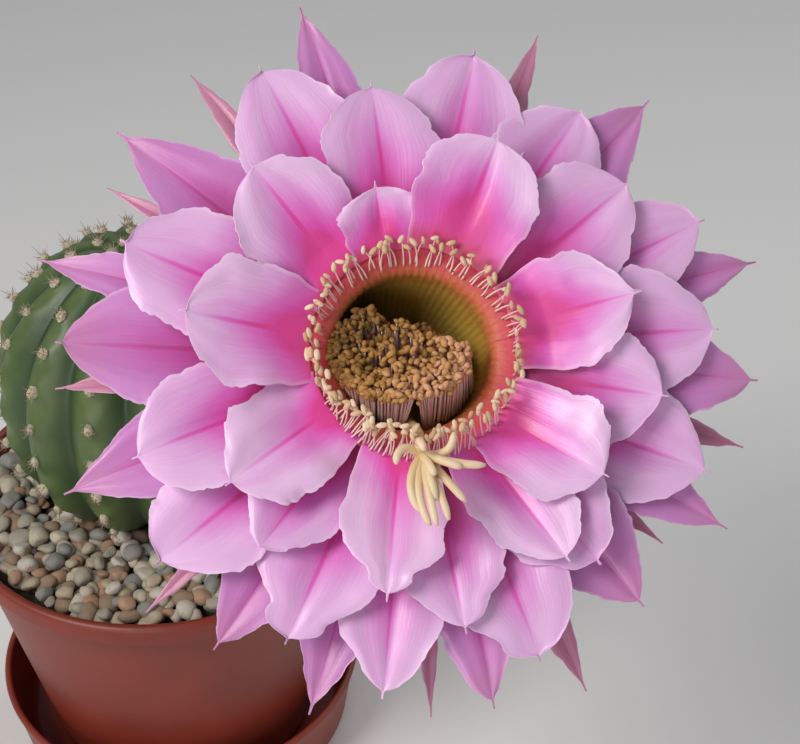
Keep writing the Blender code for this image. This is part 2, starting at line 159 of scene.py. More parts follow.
# Petals more or less pointed than their kind, by number
POINTED = {
    "inner_petal": {1: 0.2, 2: 0.2, 3: 0.75, 4: 0.2, 6: 0.5, 9: 0.1},
    "middle_petal": {5: 0.3, 11: 0.3, 12: 0.3, 14: 0.3},
    "outer_petal": {1: 0.9, 2: 0.8, 3: 0.9, 4: 0.5, 5: 0.8, 6: 0.4, 7: 0.6, 8: 0.8, 9: 0.6,
                    10: 0.8, 11: 0.3, 12: 0.9},
    "small_tepal": {},
}
# Petals that narrow suddenly to the tip: the dent in their outline, as a part of the half width
SHOULDERED = {"inner_petal_06": 0.34, "inner_petal_05": 0.14, "inner_petal_07": 0.12,
              "middle_petal_11": 0.10, "middle_petal_13": 0.16, "middle_petal_09": 0.12}
# Levels by which a petal lies lower than its solid, clear of the petal over it
LOWERED = {"middle_petal_02": 0.8}

# ---------------------------------------------------------------- materials


class Signal:
    """A value in a material under construction. Arithmetic with it adds Math nodes."""

    def __init__(self, look, socket):
        self.look, self.socket = look, socket

    def __add__(self, other):
        return self.look.math("ADD", self, other)

    def __sub__(self, other):
        return self.look.math("SUBTRACT", self, other)

    def __rsub__(self, other):
        return self.look.math("SUBTRACT", other, self)

    def __mul__(self, other):
        return self.look.math("MULTIPLY", self, other)

    def __pow__(self, power):
        return self.look.math("POWER", self, power)


class Look:
    """A node material under construction, with short helpers for its nodes."""

    def __init__(self, name, roughness, **fixed):
        self.made = bpy.data.materials.new(name)
        self.made.use_nodes = True
        self.tree = self.made.node_tree
        self.shader = self.tree.nodes["Principled BSDF"]
        self.shader.inputs["Roughness"].default_value = roughness
        for socket, value in fixed.items():
            self.shader.inputs[socket.replace("_", " ")].default_value = value

    def node(self, kind, **settings):
        made = self.tree.nodes.new(kind)
        for name, value in settings.items():
            setattr(made, name, value)
        return made

    def put(self, socket, value):
        if isinstance(value, Signal):
            self.tree.links.new(value.socket, socket)
        else:
            socket.default_value = value

    def math(self, operation, a, b=0.0):
        made = self.node("ShaderNodeMath", operation=operation)
        self.put(made.inputs[0], a)
        self.put(made.inputs[1], b)
        return Signal(self, made.outputs[0])

    def tone(self):
        """The one number that a piece carries at each of its points."""
        made = self.node("ShaderNodeAttribute", attribute_name="tone")
        return Signal(self, made.outputs["Fac"])

    def blade(self):
        """The three numbers that a piece carries at each of its points."""
        carried = self.node("ShaderNodeAttribute", attribute_name="blade")
        made = self.node("ShaderNodeSeparateXYZ")
        self.put(made.inputs[0], Signal(self, carried.outputs["Vector"]))
        return [Signal(self, output) for output in made.outputs]

    def join(self, x, y, z):
        made = self.node("ShaderNodeCombineXYZ")
        for socket, value in zip(made.inputs, (x, y, z)):
            self.put(socket, value)
        return Signal(self, made.outputs[0])

    def noise(self, vector, scale, detail=3.0, rough=0.5):
        made = self.node("ShaderNodeTexNoise")
        names = ("Vector", "Scale", "Detail", "Roughness")
        for name, value in zip(names, (vector, scale, detail, rough)):
            self.put(made.inputs[name], value)
        return Signal(self, made.outputs["Fac"])

    def cloud(self, scale, detail, rough=0.5):
        """Noise in space, rather than along the piece."""
        place = Signal(self, self.node("ShaderNodeTexCoord").outputs["Object"])
        return self.noise(place, scale, detail, rough)

    def ramp(self, factor, *stops, steps="LINEAR"):
        made = self.node("ShaderNodeValToRGB")
        ramp = made.color_ramp
        ramp.interpolation = steps
        for element, (position, colour) in zip(ramp.elements, (stops[0], stops[-1])):
            element.position, element.color = position, (*colour, 1)
        for position, colour in stops[1:-1]:
            ramp.elements.new(position).color = (*colour, 1)
        self.put(made.inputs[0], factor)
        return Signal(self, made.outputs[0])

    def band(self, value, low, high):
        """0 below low, 1 above high, smooth between."""
        made = self.node("ShaderNodeMapRange", interpolation_type="SMOOTHSTEP")
        for name, number in zip(("Value", "From Min", "From Max"), (value, low, high)):
            self.put(made.inputs[name], number)
        return Signal(self, made.outputs[0])

    def fade(self, value, low, high):
        """1 below low, 0 above high, smooth between."""
        return 1.0 - self.band(value, low, high)

    def mix(self, factor, a, b, blend="MIX"):
        made = self.node("ShaderNodeMix", data_type="RGBA", blend_type=blend)
        self.put(made.inputs[0], factor)
        for socket, value in zip((made.inputs[6], made.inputs[7]), (a, b)):
            self.put(socket, value if isinstance(value, Signal) else (*value, 1))
        return Signal(self, made.outputs[2])

    def finish(self, colour, height=None, strength=0.0, distance_mm=0.0):
        """Sets the colour and, with a height, the bump; returns the material."""
        self.put(self.shader.inputs["Base Color"], colour)
        if height is not None:
            made = self.node("ShaderNodeBump")
            names = ("Strength", "Distance", "Height")
            for name, value in zip(names, (strength, distance_mm * MM, height)):
                self.put(made.inputs[name], value)
            self.put(self.shader.inputs["Normal"], Signal(self, made.outputs[0]))
        return self.made


def petal_look():
    """Lilac at the margin, pink towards the middle, magenta along the midrib and coral at the foot.

    The blade attribute holds the share of the length, on inner petals bent so that those on the lit
    side pale sooner, which is painted light, the place across (-1 to 1) and how far out in the
    flower the petal is, 0 for the innermost and 1 for the small back tepals. The tone attribute
    sets each petal's pattern apart.
    """
    look = Look("petal", 0.34, Sheen_Weight=0.30, Sheen_Roughness=0.35, Specular_IOR_Level=0.72,
                Subsurface_Weight=0.12, Subsurface_Radius=(1.0, 0.35, 0.7),
                Subsurface_Scale=0.6 * MM)
    share, across, outer = look.blade()
    wide = look.math("ABSOLUTE", across)
    seed = look.tone()
    # Each pattern: how fine it is across and along, its detail and how much it moves the colour
    kinds = ((26.0, 1.6, 2.0, 0.16), (1.8, 2.2, 2.0, 0.36), (110.0, 9.0, 3.0, 0.16))
    patterns = [look.noise(look.join(across * fine, share * long, seed), 1.0, detail)
                for fine, long, detail, _ in kinds]
    inward = look.fade(wide, 0.0, 0.95)
    rooted = look.fade(share, 0.10, 1.0)
    rib = look.fade(wide, 0.0, 0.065) * (look.fade(share, 0.50, 1.05) * 0.55)
    glow = inward ** 1.8 * rooted + rooted ** 3.0 * 0.70 + rib
    for pattern, (*_, amount) in zip(patterns, kinds):
        glow = glow + (pattern - 0.5) * amount
    pink = look.ramp(
        glow,
        (0.0, (0.84, 0.53, 0.82)),
        (0.17, (0.80, 0.36, 0.73)),
        (0.42, (0.78, 0.18, 0.60)),
        (0.75, (0.77, 0.085, 0.46)),
        (1.0, (0.74, 0.055, 0.32)),
    )
    pink = look.mix(look.fade(share, 0.02, 0.18) * 0.8, pink, CORAL)
    lilac = look.ramp(
        glow,
        (0.0, (0.60, 0.24, 0.57)),
        (0.40, (0.58, 0.12, 0.43)),
        (1.0, (0.50, 0.055, 0.26)),
    )
    reddish = look.ramp(
        glow + share * 0.25,
        (0.0, (0.60, 0.26, 0.40)),
        (0.45, (0.46, 0.12, 0.20)),
        (1.0, (0.30, 0.06, 0.08)),
    )
    pink = look.mix(look.band(outer, 0.1, 0.55), pink, lilac)
    tips = look.band(share, 0.70, 1.0) * look.band(outer, 0.3, 0.6) * 0.45
    turned = look.math("MAXIMUM", look.band(outer, 0.6, 1.0) * 0.9, tips)
    colour = look.mix(turned, pink, reddish)
    colour = look.mix(look.band(wide, 0.90, 1.0) * 0.34, colour, (0.86, 0.72, 0.84))
    veins, patches, grain = patterns
    return look.finish(colour, veins + patches * 0.6 + grain * 0.35, 0.18, 0.35)


def stamen_looks():
    """The filaments' material and those of the anthers of the bunch and of the ring."""
    filament = Look("filament", 0.45, Subsurface_Weight=0.15, Subsurface_Scale=0.4 * MM)
    looks = [filament.finish(filament.ramp(
        filament.tone(), (0.0, (0.84, 0.53, 0.45)), (0.35, (0.92, 0.64, 0.58)),
        (1.0, (0.90, 0.68, 0.62))))]
    # The anthers' colours run dark to light along their tone; in the bunch the tone carries painted
    # shade
    tones = (
        ("anther_inner", (0.20, 0.095, 0.018), (0.46, 0.23, 0.055), (0.68, 0.36, 0.20)),
        ("anther_outer", (0.54, 0.32, 0.18), (0.70, 0.48, 0.30), (0.82, 0.64, 0.45)),
    )
    for name, *colours in tones:
        anther = Look(name, 0.75)
        grains = anther.cloud(2600.0, 3.0)
        tone = anther.tone() * 0.8 + grains * 0.4
        colour = anther.ramp(tone, *zip((0.15, 0.6, 1.0), colours))
        looks.append(anther.finish(colour, grains, 0.5, 0.15))
    return looks


def stigma_look():
    look = Look("stigma", 0.5, Subsurface_Weight=0.2, Subsurface_Scale=0.8 * MM)
    fuzz = look.cloud(1800.0, 3.0)
    colour = look.ramp(look.tone() + fuzz * 0.15, (0.05, (0.56, 0.39, 0.16)),
                       (0.5, (0.72, 0.52, 0.29)), (1.0, (0.80, 0.63, 0.44)))
    return look.finish(colour, fuzz, 0.5, 0.12)


def throat_look():
    """Olive on the side painted as lit and nearly black on the rest, which is painted shade, coral
    at the mouth, with streaks.

    The blade attribute holds the share of the depth, the share of the turn and how much painted
    light it gets.
    """
    look = Look("throat", 0.5)
    back, turn, lit = look.blade()
    around = turn * math.tau
    circle = look.join(look.math("COSINE", around), look.math("SINE", around), back)
    streaks = look.noise(circle, 26.0, 2.0)
    shifted = back + (streaks - 0.5) * 0.16
    lip = ((0.0, CORAL), (0.05, (0.62, 0.065, 0.10)), (0.10, (0.58, 0.10, 0.055)))
    # Painted light and shade: bright is the wall painted as lit, darkening deeper in as painted
    # shade; dim is the wall painted in shade, nearly black past the lip
    bright = look.ramp(shifted, *lip, (0.16, (0.52, 0.20, 0.05)), (0.24, (0.58, 0.33, 0.055)),
                       (0.40, (0.54, 0.34, 0.06)), (0.75, (0.30, 0.19, 0.035)))
    dim = look.ramp(shifted, *lip, (0.15, (0.34, 0.12, 0.03)), (0.20, (0.05, 0.04, 0.01)),
                    (0.40, (0.012, 0.011, 0.004)), (1.0, (0.005, 0.005, 0.002)))
    return look.finish(look.mix(lit, dim, bright), streaks, 0.4, 0.4)


def tube_skin_look():
    look = Look("tube_skin", 0.6)
    back = look.blade()[0]
    mottle = look.cloud(260.0, 4.0)
    colour = look.ramp(back * 0.7 + mottle * 0.35, (0.05, (0.62, 0.34, 0.34)),
                       (0.35, (0.36, 0.30, 0.14)), (0.8, (0.15, 0.22, 0.06)),
                       (1.0, (0.09, 0.15, 0.04)))
    return look.finish(colour, mottle, 0.5, 0.6)


def scale_look():
    look = Look("tube_scale", 0.55)
    share, across, _ = look.blade()
    colour = look.ramp(share, (0.0, (0.22, 0.27, 0.09)), (0.5, (0.42, 0.22, 0.15)),
                       (1.0, (0.50, 0.16, 0.18)))
    return look.finish(colour, look.noise(look.join(across * 12.0, share, 0.0), 1.0), 0.4, 0.2)


def cactus_look():
    look = Look("cactus_skin", 0.45, Coat_Weight=0.06, Coat_Roughness=0.4)
    ridge = look.blade()[0]
    mottle = look.cloud(90.0, 5.0, 0.6)
    specks = look.cloud(1400.0, 2.0)
    colour = look.ramp(ridge * 0.55 + mottle * 0.6, (0.15, (0.016, 0.034, 0.012)),
                       (0.55, (0.040, 0.078, 0.022)), (0.95, (0.095, 0.140, 0.042)))
    return look.finish(colour, specks * 0.25 + mottle, 0.25, 0.5)


def wool_look():
    look = Look("areole_wool", 0.95, Sheen_Weight=0.4)
    fuzz = look.cloud(1500.0, 4.0, 0.7)
    colour = look.ramp(fuzz, (0.25, (0.34, 0.26, 0.15)), (0.7, (0.72, 0.64, 0.48)))
    return look.finish(colour, fuzz, 0.9, 0.6)


def strand_look(name, roughness, *stops):
    """A material whose colour follows only the tone."""
    look = Look(name, roughness)
    return look.finish(look.ramp(look.tone(), *stops))


def plastic_look(name, dark, light):
    look = Look(name, 0.42)
    cloud = look.cloud(28.0, 4.0, 0.6)
    grain = look.cloud(900.0, 2.0)
    rough = look.node("ShaderNodeMapRange")
    for socket, value in zip(("Value", "To Min", "To Max"), (cloud, 0.36, 0.52)):
        look.put(rough.inputs[socket], value)
    look.put(look.shader.inputs["Roughness"], Signal(look, rough.outputs[0]))
    return look.finish(look.ramp(cloud, (0.3, dark), (0.7, light)), grain, 0.12, 0.2)


def stone_look():
    look = Look("gravel", 0.72)
    tone = look.tone()
    mottle = look.cloud(420.0, 5.0, 0.62)
    speck = look.cloud(2200.0, 2.0)
    base = look.ramp(
        tone,
        (0.0, (0.62, 0.55, 0.43)),
        (0.16, (0.44, 0.40, 0.33)),
        (0.30, (0.66, 0.61, 0.52)),
        (0.44, (0.36, 0.25, 0.17)),
        (0.58, (0.54, 0.45, 0.33)),
        (0.72, (0.30, 0.30, 0.28)),
        (0.86, (0.50, 0.31, 0.20)),
        (1.0, (0.72, 0.69, 0.62)),
        steps="CONSTANT",
    )
    worn = look.mix(mottle * 0.55, base, (0.26, 0.20, 0.14), "MULTIPLY")
    colour = look.mix(look.band(speck, 0.62, 0.72), worn, (0.22, 0.17, 0.12))
    return look.finish(colour, mottle + speck * 0.3, 0.5, 0.5)


def soil_look():
    look = Look("soil", 0.95)
    crumbs = look.cloud(500.0, 6.0, 0.7)
    colour = look.ramp(crumbs, (0.3, (0.015, 0.010, 0.007)), (0.75, (0.085, 0.055, 0.035)))
    return look.finish(colour, crumbs, 0.8, 1.2)


# ---------------------------------------------------------------- meshes


def add_piece(name, points, faces, look, slot, blade=None, tone=None, second=None, which=None):
    """A smooth mesh piece that rides on the root body. Points are in millimetres.

    faces is an array with one face a row. blade (three numbers a point) and tone (one number a
    point) are the attributes that the looks read. which says, for each face, whether it has the
    first look, 0, or the second, 1.
    """
    points = np.asarray(points, float)
    faces = np.asarray(faces, np.int32)
    mesh = bpy.data.meshes.new(name)
    mesh.vertices.add(len(points))
    mesh.vertices.foreach_set("co", (points * MM).ravel())
    mesh.loops.add(faces.size)
    mesh.loops.foreach_set("vertex_index", faces.ravel())
    mesh.polygons.add(len(faces))
    mesh.polygons.foreach_set("loop_start", np.arange(0, faces.size, faces.shape[1]))
    mesh.update(calc_edges=True)
    mesh.validate()
    mesh.shade_smooth()
    mesh.materials.append(look)
    if second is not None:
        mesh.materials.append(second)
        mesh.polygons.foreach_set("material_index", np.asarray(which, np.int32))
    if blade is not None:
        layer = mesh.attributes.new("blade", "FLOAT_VECTOR", "POINT")
        layer.data.foreach_set("vector", np.asarray(blade, float).ravel())
    if tone is not None:
        layer = mesh.attributes.new("tone", "FLOAT", "POINT")
        layer.data.foreach_set("value", np.asarray(tone, float).ravel())
    piece = bpy.data.objects.new(name, mesh)
    bpy.context.scene.collection.objects.link(piece)
    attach(piece, "root")
    return piece


def grid_faces(rows, columns, wrap=False, start=0):
    """Quads of a grid of points, row by row; wrap joins the last column to the first."""
    row = np.arange(rows - 1)[:, None] * columns
    last = columns if wrap else columns - 1
    column = np.arange(last)[None, :]
    following = (column + 1) % columns
    quads = np.stack([row + column, row + following, row + columns + following,
                      row + columns + column], axis=-1)
    return quads.reshape(-1, 4) + start


def triangles(quads):
    return np.concatenate([quads[:, [0, 1, 2]], quads[:, [0, 2, 3]]])


def capped_rings(rings):
    """Points and triangles of a closed body through rings, an array (rings, count, 3)."""
    rows, count = rings.shape[:2]
    points = np.concatenate([rings.reshape(-1, 3), [rings[0].mean(0), rings[-1].mean(0)]])
    faces = [triangles(grid_faces(rows, count, wrap=True))]
    around = np.arange(count)
    after = (around + 1) % count
    end = (rows - 1) * count
    faces.append(np.stack([np.full(count, rows * count), after, around], axis=-1))
    faces.append(np.stack([np.full(count, rows * count + 1), end + around, end + after], axis=-1))
    return points, np.concatenate(faces)


def joined(bodies):
    """Points and faces of many bodies as one mesh."""
    starts = np.cumsum([0] + [len(points) for points, _ in bodies])
    return (np.concatenate([points for points, _ in bodies]),
            np.concatenate([faces + start for (_, faces), start in zip(bodies, starts)]))


def add_strands(name, paths, radii, look, slot, tones=None, sides=6):
    """A piece of closed thin tubes along paths (strands, steps, 3), with radii and tones
    (strands, steps)."""
    paths, radii = np.asarray(paths, float), np.asarray(radii, float)
    way = unit(np.gradient(paths, axis=1))
    lead = np.where(np.abs(way[..., 2:3]) < 0.9, [0, 0, 1.0], [1.0, 0, 0])
    side = unit(np.cross(way, lead))
    up = np.cross(way, side)
    turn = math.tau * np.arange(sides) / sides
    spread = side[:, :, None] * np.cos(turn)[:, None] + up[:, :, None] * np.sin(turn)[:, None]
    rings = paths[:, :, None] + spread * radii[:, :, None, None]
    tone = None
    if tones is not None:
        tones = np.asarray(tones, float)
        caps = [tones[:, :1], tones[:, -1:]]
        tone = np.concatenate([np.repeat(tones, sides, axis=1), *caps], axis=1).ravel()
    return add_piece(name, *joined([capped_rings(strand) for strand in rings]), look, slot,
                     tone=tone)


def ball(subdivisions):
    """Points and triangles of a unit icosphere."""
    form = bmesh.new()
    bmesh.ops.create_icosphere(form, subdivisions=subdivisions, radius=1)
    points = np.array([vertex.co[:] for vertex in form.verts])
    faces = np.array([[vertex.index for vertex in face.verts] for face in form.faces])
    form.free()
    return points, faces


def add_blobs(name, centres, ways, sizes, subdivisions, form, look, slot, tones=None):
    """A piece of rounded bodies: each has a centre, a long direction, sizes (along, across, thick)
    and a tone. form(points, index) reshapes one body's unit ball first."""
    base, faces = ball(subdivisions)
    bodies = []
    for i, (centre, way, size) in enumerate(zip(centres, ways, sizes)):
        way = unit(way)
        side = unit(np.cross(way, [0.3, 0.2, 0.93]))
        turned = (form(base, i) * size) @ np.stack([way, side, np.cross(way, side)])
        bodies.append((centre + turned, faces))
    tone = None if tones is None else np.repeat(tones, len(base))
    return add_piece(name, *joined(bodies), look, slot, tone=tone)


def smooth(share):
    """0 below 0, 1 above 1, and an even S between."""
    share = np.clip(share, 0, 1)
    return share * share * (3 - 2 * share)


def wave_noise(values, seed, octaves):
    """Smooth repeatable noise of one number, about -1 to 1."""
    total = np.zeros_like(values)
    draw = np.random.default_rng(seed)
    size, most = 1.0, 0.0
    for octave in range(octaves):
        rate, phase = (1.7 ** octave) * draw.uniform(0.8, 1.2), draw.uniform(0, math.tau)
        total = total + size * np.sin(values * rate * math.tau + phase)
        most += size
        size *= 0.6
    return total / most


# ---------------------------------------------------------------- petals


def flower_place(side, up, along):
    side, up, along = np.broadcast_arrays(side, up, along)
    return MOUTH + side[..., None] * SIDE + up[..., None] * UPWARD + along[..., None] * AXIS


def flower_polar(radius, turn, along):
    return flower_place(radius * math.cos(turn), radius * math.sin(turn), along)


def family_height(radius, level):
    share = (radius - PETAL_FOOT_R) / FAMILY_SPAN
    return -FOOT_STEP * level + (CLIMB - CLIMB_STEP * level) * share - DROOP * share * share


def measure_petal(name):
    """Angle, reach, width and level of a petal, from its CAD node."""
    place = node_points(name) - MOUTH
    side, up, along = place @ SIDE, place @ UPWARD, place @ AXIS
    radius = np.hypot(side, up)
    tip = np.argsort(radius)[-4:]
    angle = math.atan2(up[tip].mean(), side[tip].mean())
    across = -side * math.sin(angle) + up * math.cos(angle)
    reach, height = radius[tip].mean(), along[tip].mean()
    share = (reach - PETAL_FOOT_R) / FAMILY_SPAN
    level = (CLIMB * share - DROOP * share * share - height) / (FOOT_STEP + CLIMB_STEP * share)
    level = level + LOWERED.get(name, 0)
    return angle, reach, 2 * np.abs(across).max(), level


def petal_outline(share, pointed, foot, blunt, dent):
    """Half width of one side of a petal, as a part of its greatest, at a share of the blade."""
    widest = 0.66 - 0.15 * pointed
    rise = foot + (1 - foot) * np.sin(np.pi / 2 * np.clip(share / widest, 0, 1)) ** 1.15
    past = np.clip((share - widest) / (1 - widest), 0, 1)
    fall = np.cos(np.pi / 2 * past) ** (0.47 + 0.50 * pointed - 0.13 * blunt)
    return rise * (fall - dent * np.exp(-((past - 0.66) / 0.17) ** 2) * fall)


def petal_surface(share, across, petal):
    """Middle surface of a petal at a share of its length and a place across, -1 to 1."""
    kind, angle, reach, width, level, pointed, foot, hair, shoulder, seed = petal
    draw = np.random.default_rng(seed)
    foot_r = PETAL_FOOT_R - 0.35 * level - FOOT_TUCK
    margin = np.abs(across)
    left = np.where(across < 0, 1.0, 0.0)
    blade = np.clip(share / (1 - hair / (reach - foot_r)), 0, 1)
    sides = []
    for _ in range(2):
        blunt, dent = draw.uniform(-1, 1), max(0.0, draw.uniform(-0.12, 0.22)) * (1 - pointed)
        dent = dent + shoulder * draw.uniform(0.7, 1.0)
        sides.append(petal_outline(blade, pointed, foot, blunt, dent))
    outline = np.where(across < 0, sides[0], sides[1])
    worn = wave_noise(share * 2.1 + left * 3.3, seed, 3) * 0.07
    half = width / 2 * outline * (1 + worn * np.clip(share * 2.5, 0, 1))
    taper = 0.14 + (0.2 + 1.2 * pointed) * np.clip((1 - share) / 0.15, 0, 1) ** 1.5
    half = (half ** 4 + taper ** 4) ** 0.25
    notch = wave_noise(share * 9.0 + left * 1.7, seed + 1, 4) * 0.38
    notch = notch - 0.42 * ragged(share, left, seed + 4)
    notch = notch * np.clip(share * 2 - 0.4, 0, 1) * outline ** 0.4
    side = across * half + np.sign(across) * notch * margin ** 7
    side = side + draw.uniform(-1.4, 1.4) * share ** 2 * (width / 26)
    along = foot_r + (reach - foot_r) * share
    along = along - side ** 2 / (2 * foot_r) * (1 - share) ** 2
    rise = smooth((share - 0.04) / 0.45)
    end = 1 - 0.9 * np.clip((blade - 0.58) / 0.42, 0, 1) ** 1.6
    room = width / 27
    fold = 1.9 * room * (margin ** 1.2 - 0.34) * rise * end
    belly = 0.5 * room * np.sin(np.pi * margin) * rise * end
    crease = -0.42 * np.exp(-(side / 0.8) ** 2) * rise * end
    ruffle = 0.85 * room * margin ** 3 * wave_noise(share * 1.7 + left * 2.3, seed + 2, 2) * rise
    flute = 0.20 * room * np.sin(math.tau * (1.6 * across + draw.uniform()) + share) * rise * end
    rolls = [draw.uniform(-1.3, 0.7), draw.uniform(-1.3, 0.7)]
    roll = np.where(across < 0, *rolls) * np.clip((margin - 0.70) / 0.30, 0, 1) ** 2
    roll = roll * np.clip((share - 0.35) / 0.3, 0, 1) * room * end
    tilt = (0.05 + draw.uniform(-0.03, 0.03)) * side * np.clip(share * 3, 0, 1)
    curl = -1.2 * np.clip((share - 0.78) / 0.22, 0, 1) ** 2 * draw.uniform(-0.7, 1.0)
    radius = np.hypot(along, side)
    height = family_height(radius, level) - 0.28 * level * rise
    if kind == "inner_petal":
        sit = LIP_ALONG - family_height(foot_r, level)
        height = height + sit * (1 - smooth(share * (reach - foot_r) / SETTLED_BY))
    height = height + fold + belly + crease + ruffle + flute + roll + tilt + curl
    cosine, sine = math.cos(angle), math.sin(angle)
    return flower_place(along * cosine - side * sine, along * sine + side * cosine, height)


def ragged(share, left, seed):
    """Small uneven notches along a petal's margin, 0 to 1."""
    teeth = np.random.default_rng(seed).uniform(0, 1, 2 * TEETH_A_SIDE) ** 2
    places = share * (TEETH_A_SIDE - 2) + left * TEETH_A_SIDE
    return np.interp(places, np.arange(2 * TEETH_A_SIDE), teeth)


def sheet_between(front, back, rows, columns):
    """Quads of a closed thin sheet from two grids of points and the rim between them."""
    under = rows * columns
    top = grid_faces(rows, columns)[:, ::-1]
    bottom = grid_faces(rows, columns, start=under)
    index = np.arange(under).reshape(rows, columns)
    edge = np.concatenate([index[0, :-1], index[:-1, -1], index[-1, :0:-1], index[:0:-1, 0]])
    after = np.roll(edge, -1)
    rim = np.stack([edge, after, under + after, under + edge], axis=-1)
    return np.concatenate([front, back]), np.concatenate([top, bottom, rim])


def make_petal(name, kind, number, look):
    angle, reach, width, level = measure_petal(name)
    small = kind == "small_tepal"
    rows, columns = TEPAL_GRID if small else PETAL_GRID
    pointed, foot, outer, hair = PETAL_KINDS[kind]
    pointed = POINTED[kind].get(number, pointed)
    hair = hair + 1.2 * pointed
    order = list(PETAL_KINDS).index(kind)
    seed = 100 * order + 7 * number
    shoulder = SHOULDERED.get(name, 0)
    petal = (kind, angle, reach, width, level, pointed, foot, hair, shoulder, seed)
    neck = 1 - hair / (reach - PETAL_FOOT_R + FOOT_TUCK)
    even = np.linspace(0, 1, rows - 5)
    share = np.concatenate([neck * (even + 0.06 * np.sin(np.pi * even) * even),
                            np.linspace(neck, 1, 6)[1:]])[:, None]
    across = np.sin(np.linspace(-1, 1, columns) * np.pi / 2 * 0.96)[None, :]
    across = across / across.max()
    share, across = np.broadcast_arrays(share, across)
    middle = petal_surface(share, across, petal)
    along_way = np.gradient(middle, axis=0)
    across_way = np.gradient(middle, axis=1)
    normal = unit(np.cross(along_way, across_way))
    normal *= np.sign(normal @ AXIS)[..., None]
    thick = (0.19 * (1 - 0.6 * np.abs(across) ** 4) * (1 - 0.4 * share))[..., None]
    front = (middle + normal * thick).reshape(-1, 3)
    back = (middle - normal * thick).reshape(-1, 3)
    points, faces = sheet_between(front, back, rows, columns)
    paling = share
    # Inner petals on the lit side pale sooner from foot to tip: painted light
    if kind == "inner_petal":
        paling = share ** (1.15 - 0.36 * (1 + math.cos(angle - PAINTED_LIGHT_WAY)))
    blade = np.stack([paling, across, np.full(share.shape, outer)], axis=-1)
    blade = np.concatenate([blade.reshape(-1, 3)] * 2)
    tone = np.full(len(points), 3.7 * number + 11.0 * order)
    slot = "tepal" if small else "petal"
    piece = add_piece(f"{name}_skin", points, faces, look, slot, blade=blade, tone=tone)
    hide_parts(name)


def make_petals():
    look = petal_look()
    for name in sorted(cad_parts):
        kind, _, number = name.rpartition("_")
        if kind in PETAL_KINDS:
            make_petal(name, kind, int(number), look)


# ---------------------------------------------------------------- flower tube


def tube_path(share):
    """Centre line from the mouth, share 0, to the body, share 1, and its direction."""
    foot, knee = TUBE_FOOT, TUBE_KNEE
    split = TUBE_STRAIGHT / TUBE_LENGTH
    if share <= split:
        return MOUTH - AXIS * (TUBE_STRAIGHT * share / split), -AXIS
    t = (share - split) / (1 - split)
    u = 1 - t
    near = knee - AXIS * TUBE_HEAD_PULL
    far = foot + TUBE_START_WAY * TUBE_FOOT_PULL
    place = knee * u**3 + near * (3 * u * u * t) + far * (3 * u * t * t) + foot * t**3
    way = (near - knee) * (u * u) + (far - near) * (2 * u * t) + (foot - far) * (t * t)
    return place, unit(way)


def tube_outer_r(back):
    if back < FLARE_BACK:
        return MOUTH_R - 0.25 * back
    neck = MOUTH_R - 0.25 * FLARE_BACK
    return TUBE_R + (neck - TUBE_R) * math.exp(-((back - FLARE_BACK) / 26) ** 1.25)


def tube_spot(back, turn, radius):
    """A point at a distance back from the mouth, an angle round the tube and a radius, and the
    outward and backward directions there."""
    place, way = tube_path(min(back / TUBE_LENGTH, 1.0))
    side = unit(SIDE - way * (SIDE @ way))
    up = np.cross(way, side)
    out = side * math.cos(turn) + up * math.sin(turn)
    return place + out * radius, out, way


def make_flower_tube():
    """One closed skin: the throat from its deep end to the lip, then the outside to the body."""
    segments = 4 * THROAT_RIBS
    turns = math.tau * np.arange(segments) / segments
    rings, blades = [], []

    def add_ring(back, radii, shade, lit):
        rings.append([tube_spot(back, turn, radius)[0] for turn, radius in zip(turns, radii)])
        blades.append(np.stack([np.full(segments, shade), turns / math.tau, lit], axis=-1))

    # Painted light: 1 over most of the throat's ring, falling to 0, painted shade, on the side
    # opposite the lit turn
    lit = np.clip(0.9 + 1.5 * np.cos(turns - PAINTED_LIGHT_TURN), 0, 1)
    for back, radius, shade in THROAT:
        ridges = 0.12 * min(back / 3, 1) * np.cos(THROAT_RIBS * turns)
        add_ring(back, radius + ridges, shade, lit)
    for back in (1.6, 2.4, 4.0, *np.linspace(7, TUBE_LENGTH - 4, 34)):
        ribs = 0.35 * np.cos(TUBE_RIBS * turns) * min(back / 20, 1)
        add_ring(back, tube_outer_r(back) + ribs, back / TUBE_LENGTH, turns * 0)
    points, faces = capped_rings(np.array(rings))
    blade = np.concatenate([*blades, [(1, 0, 0), (1, 0, 0)]])
    last = faces.max(axis=1)
    deep_end = last == len(points) - 2
    outside = (last >= len(THROAT) * segments) & ~deep_end
    piece = add_piece("flower_tube_skin", points, faces, throat_look(), "tube_skin", blade=blade,
                      second=tube_skin_look(), which=outside.astype(int))
    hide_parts("flower_tube")


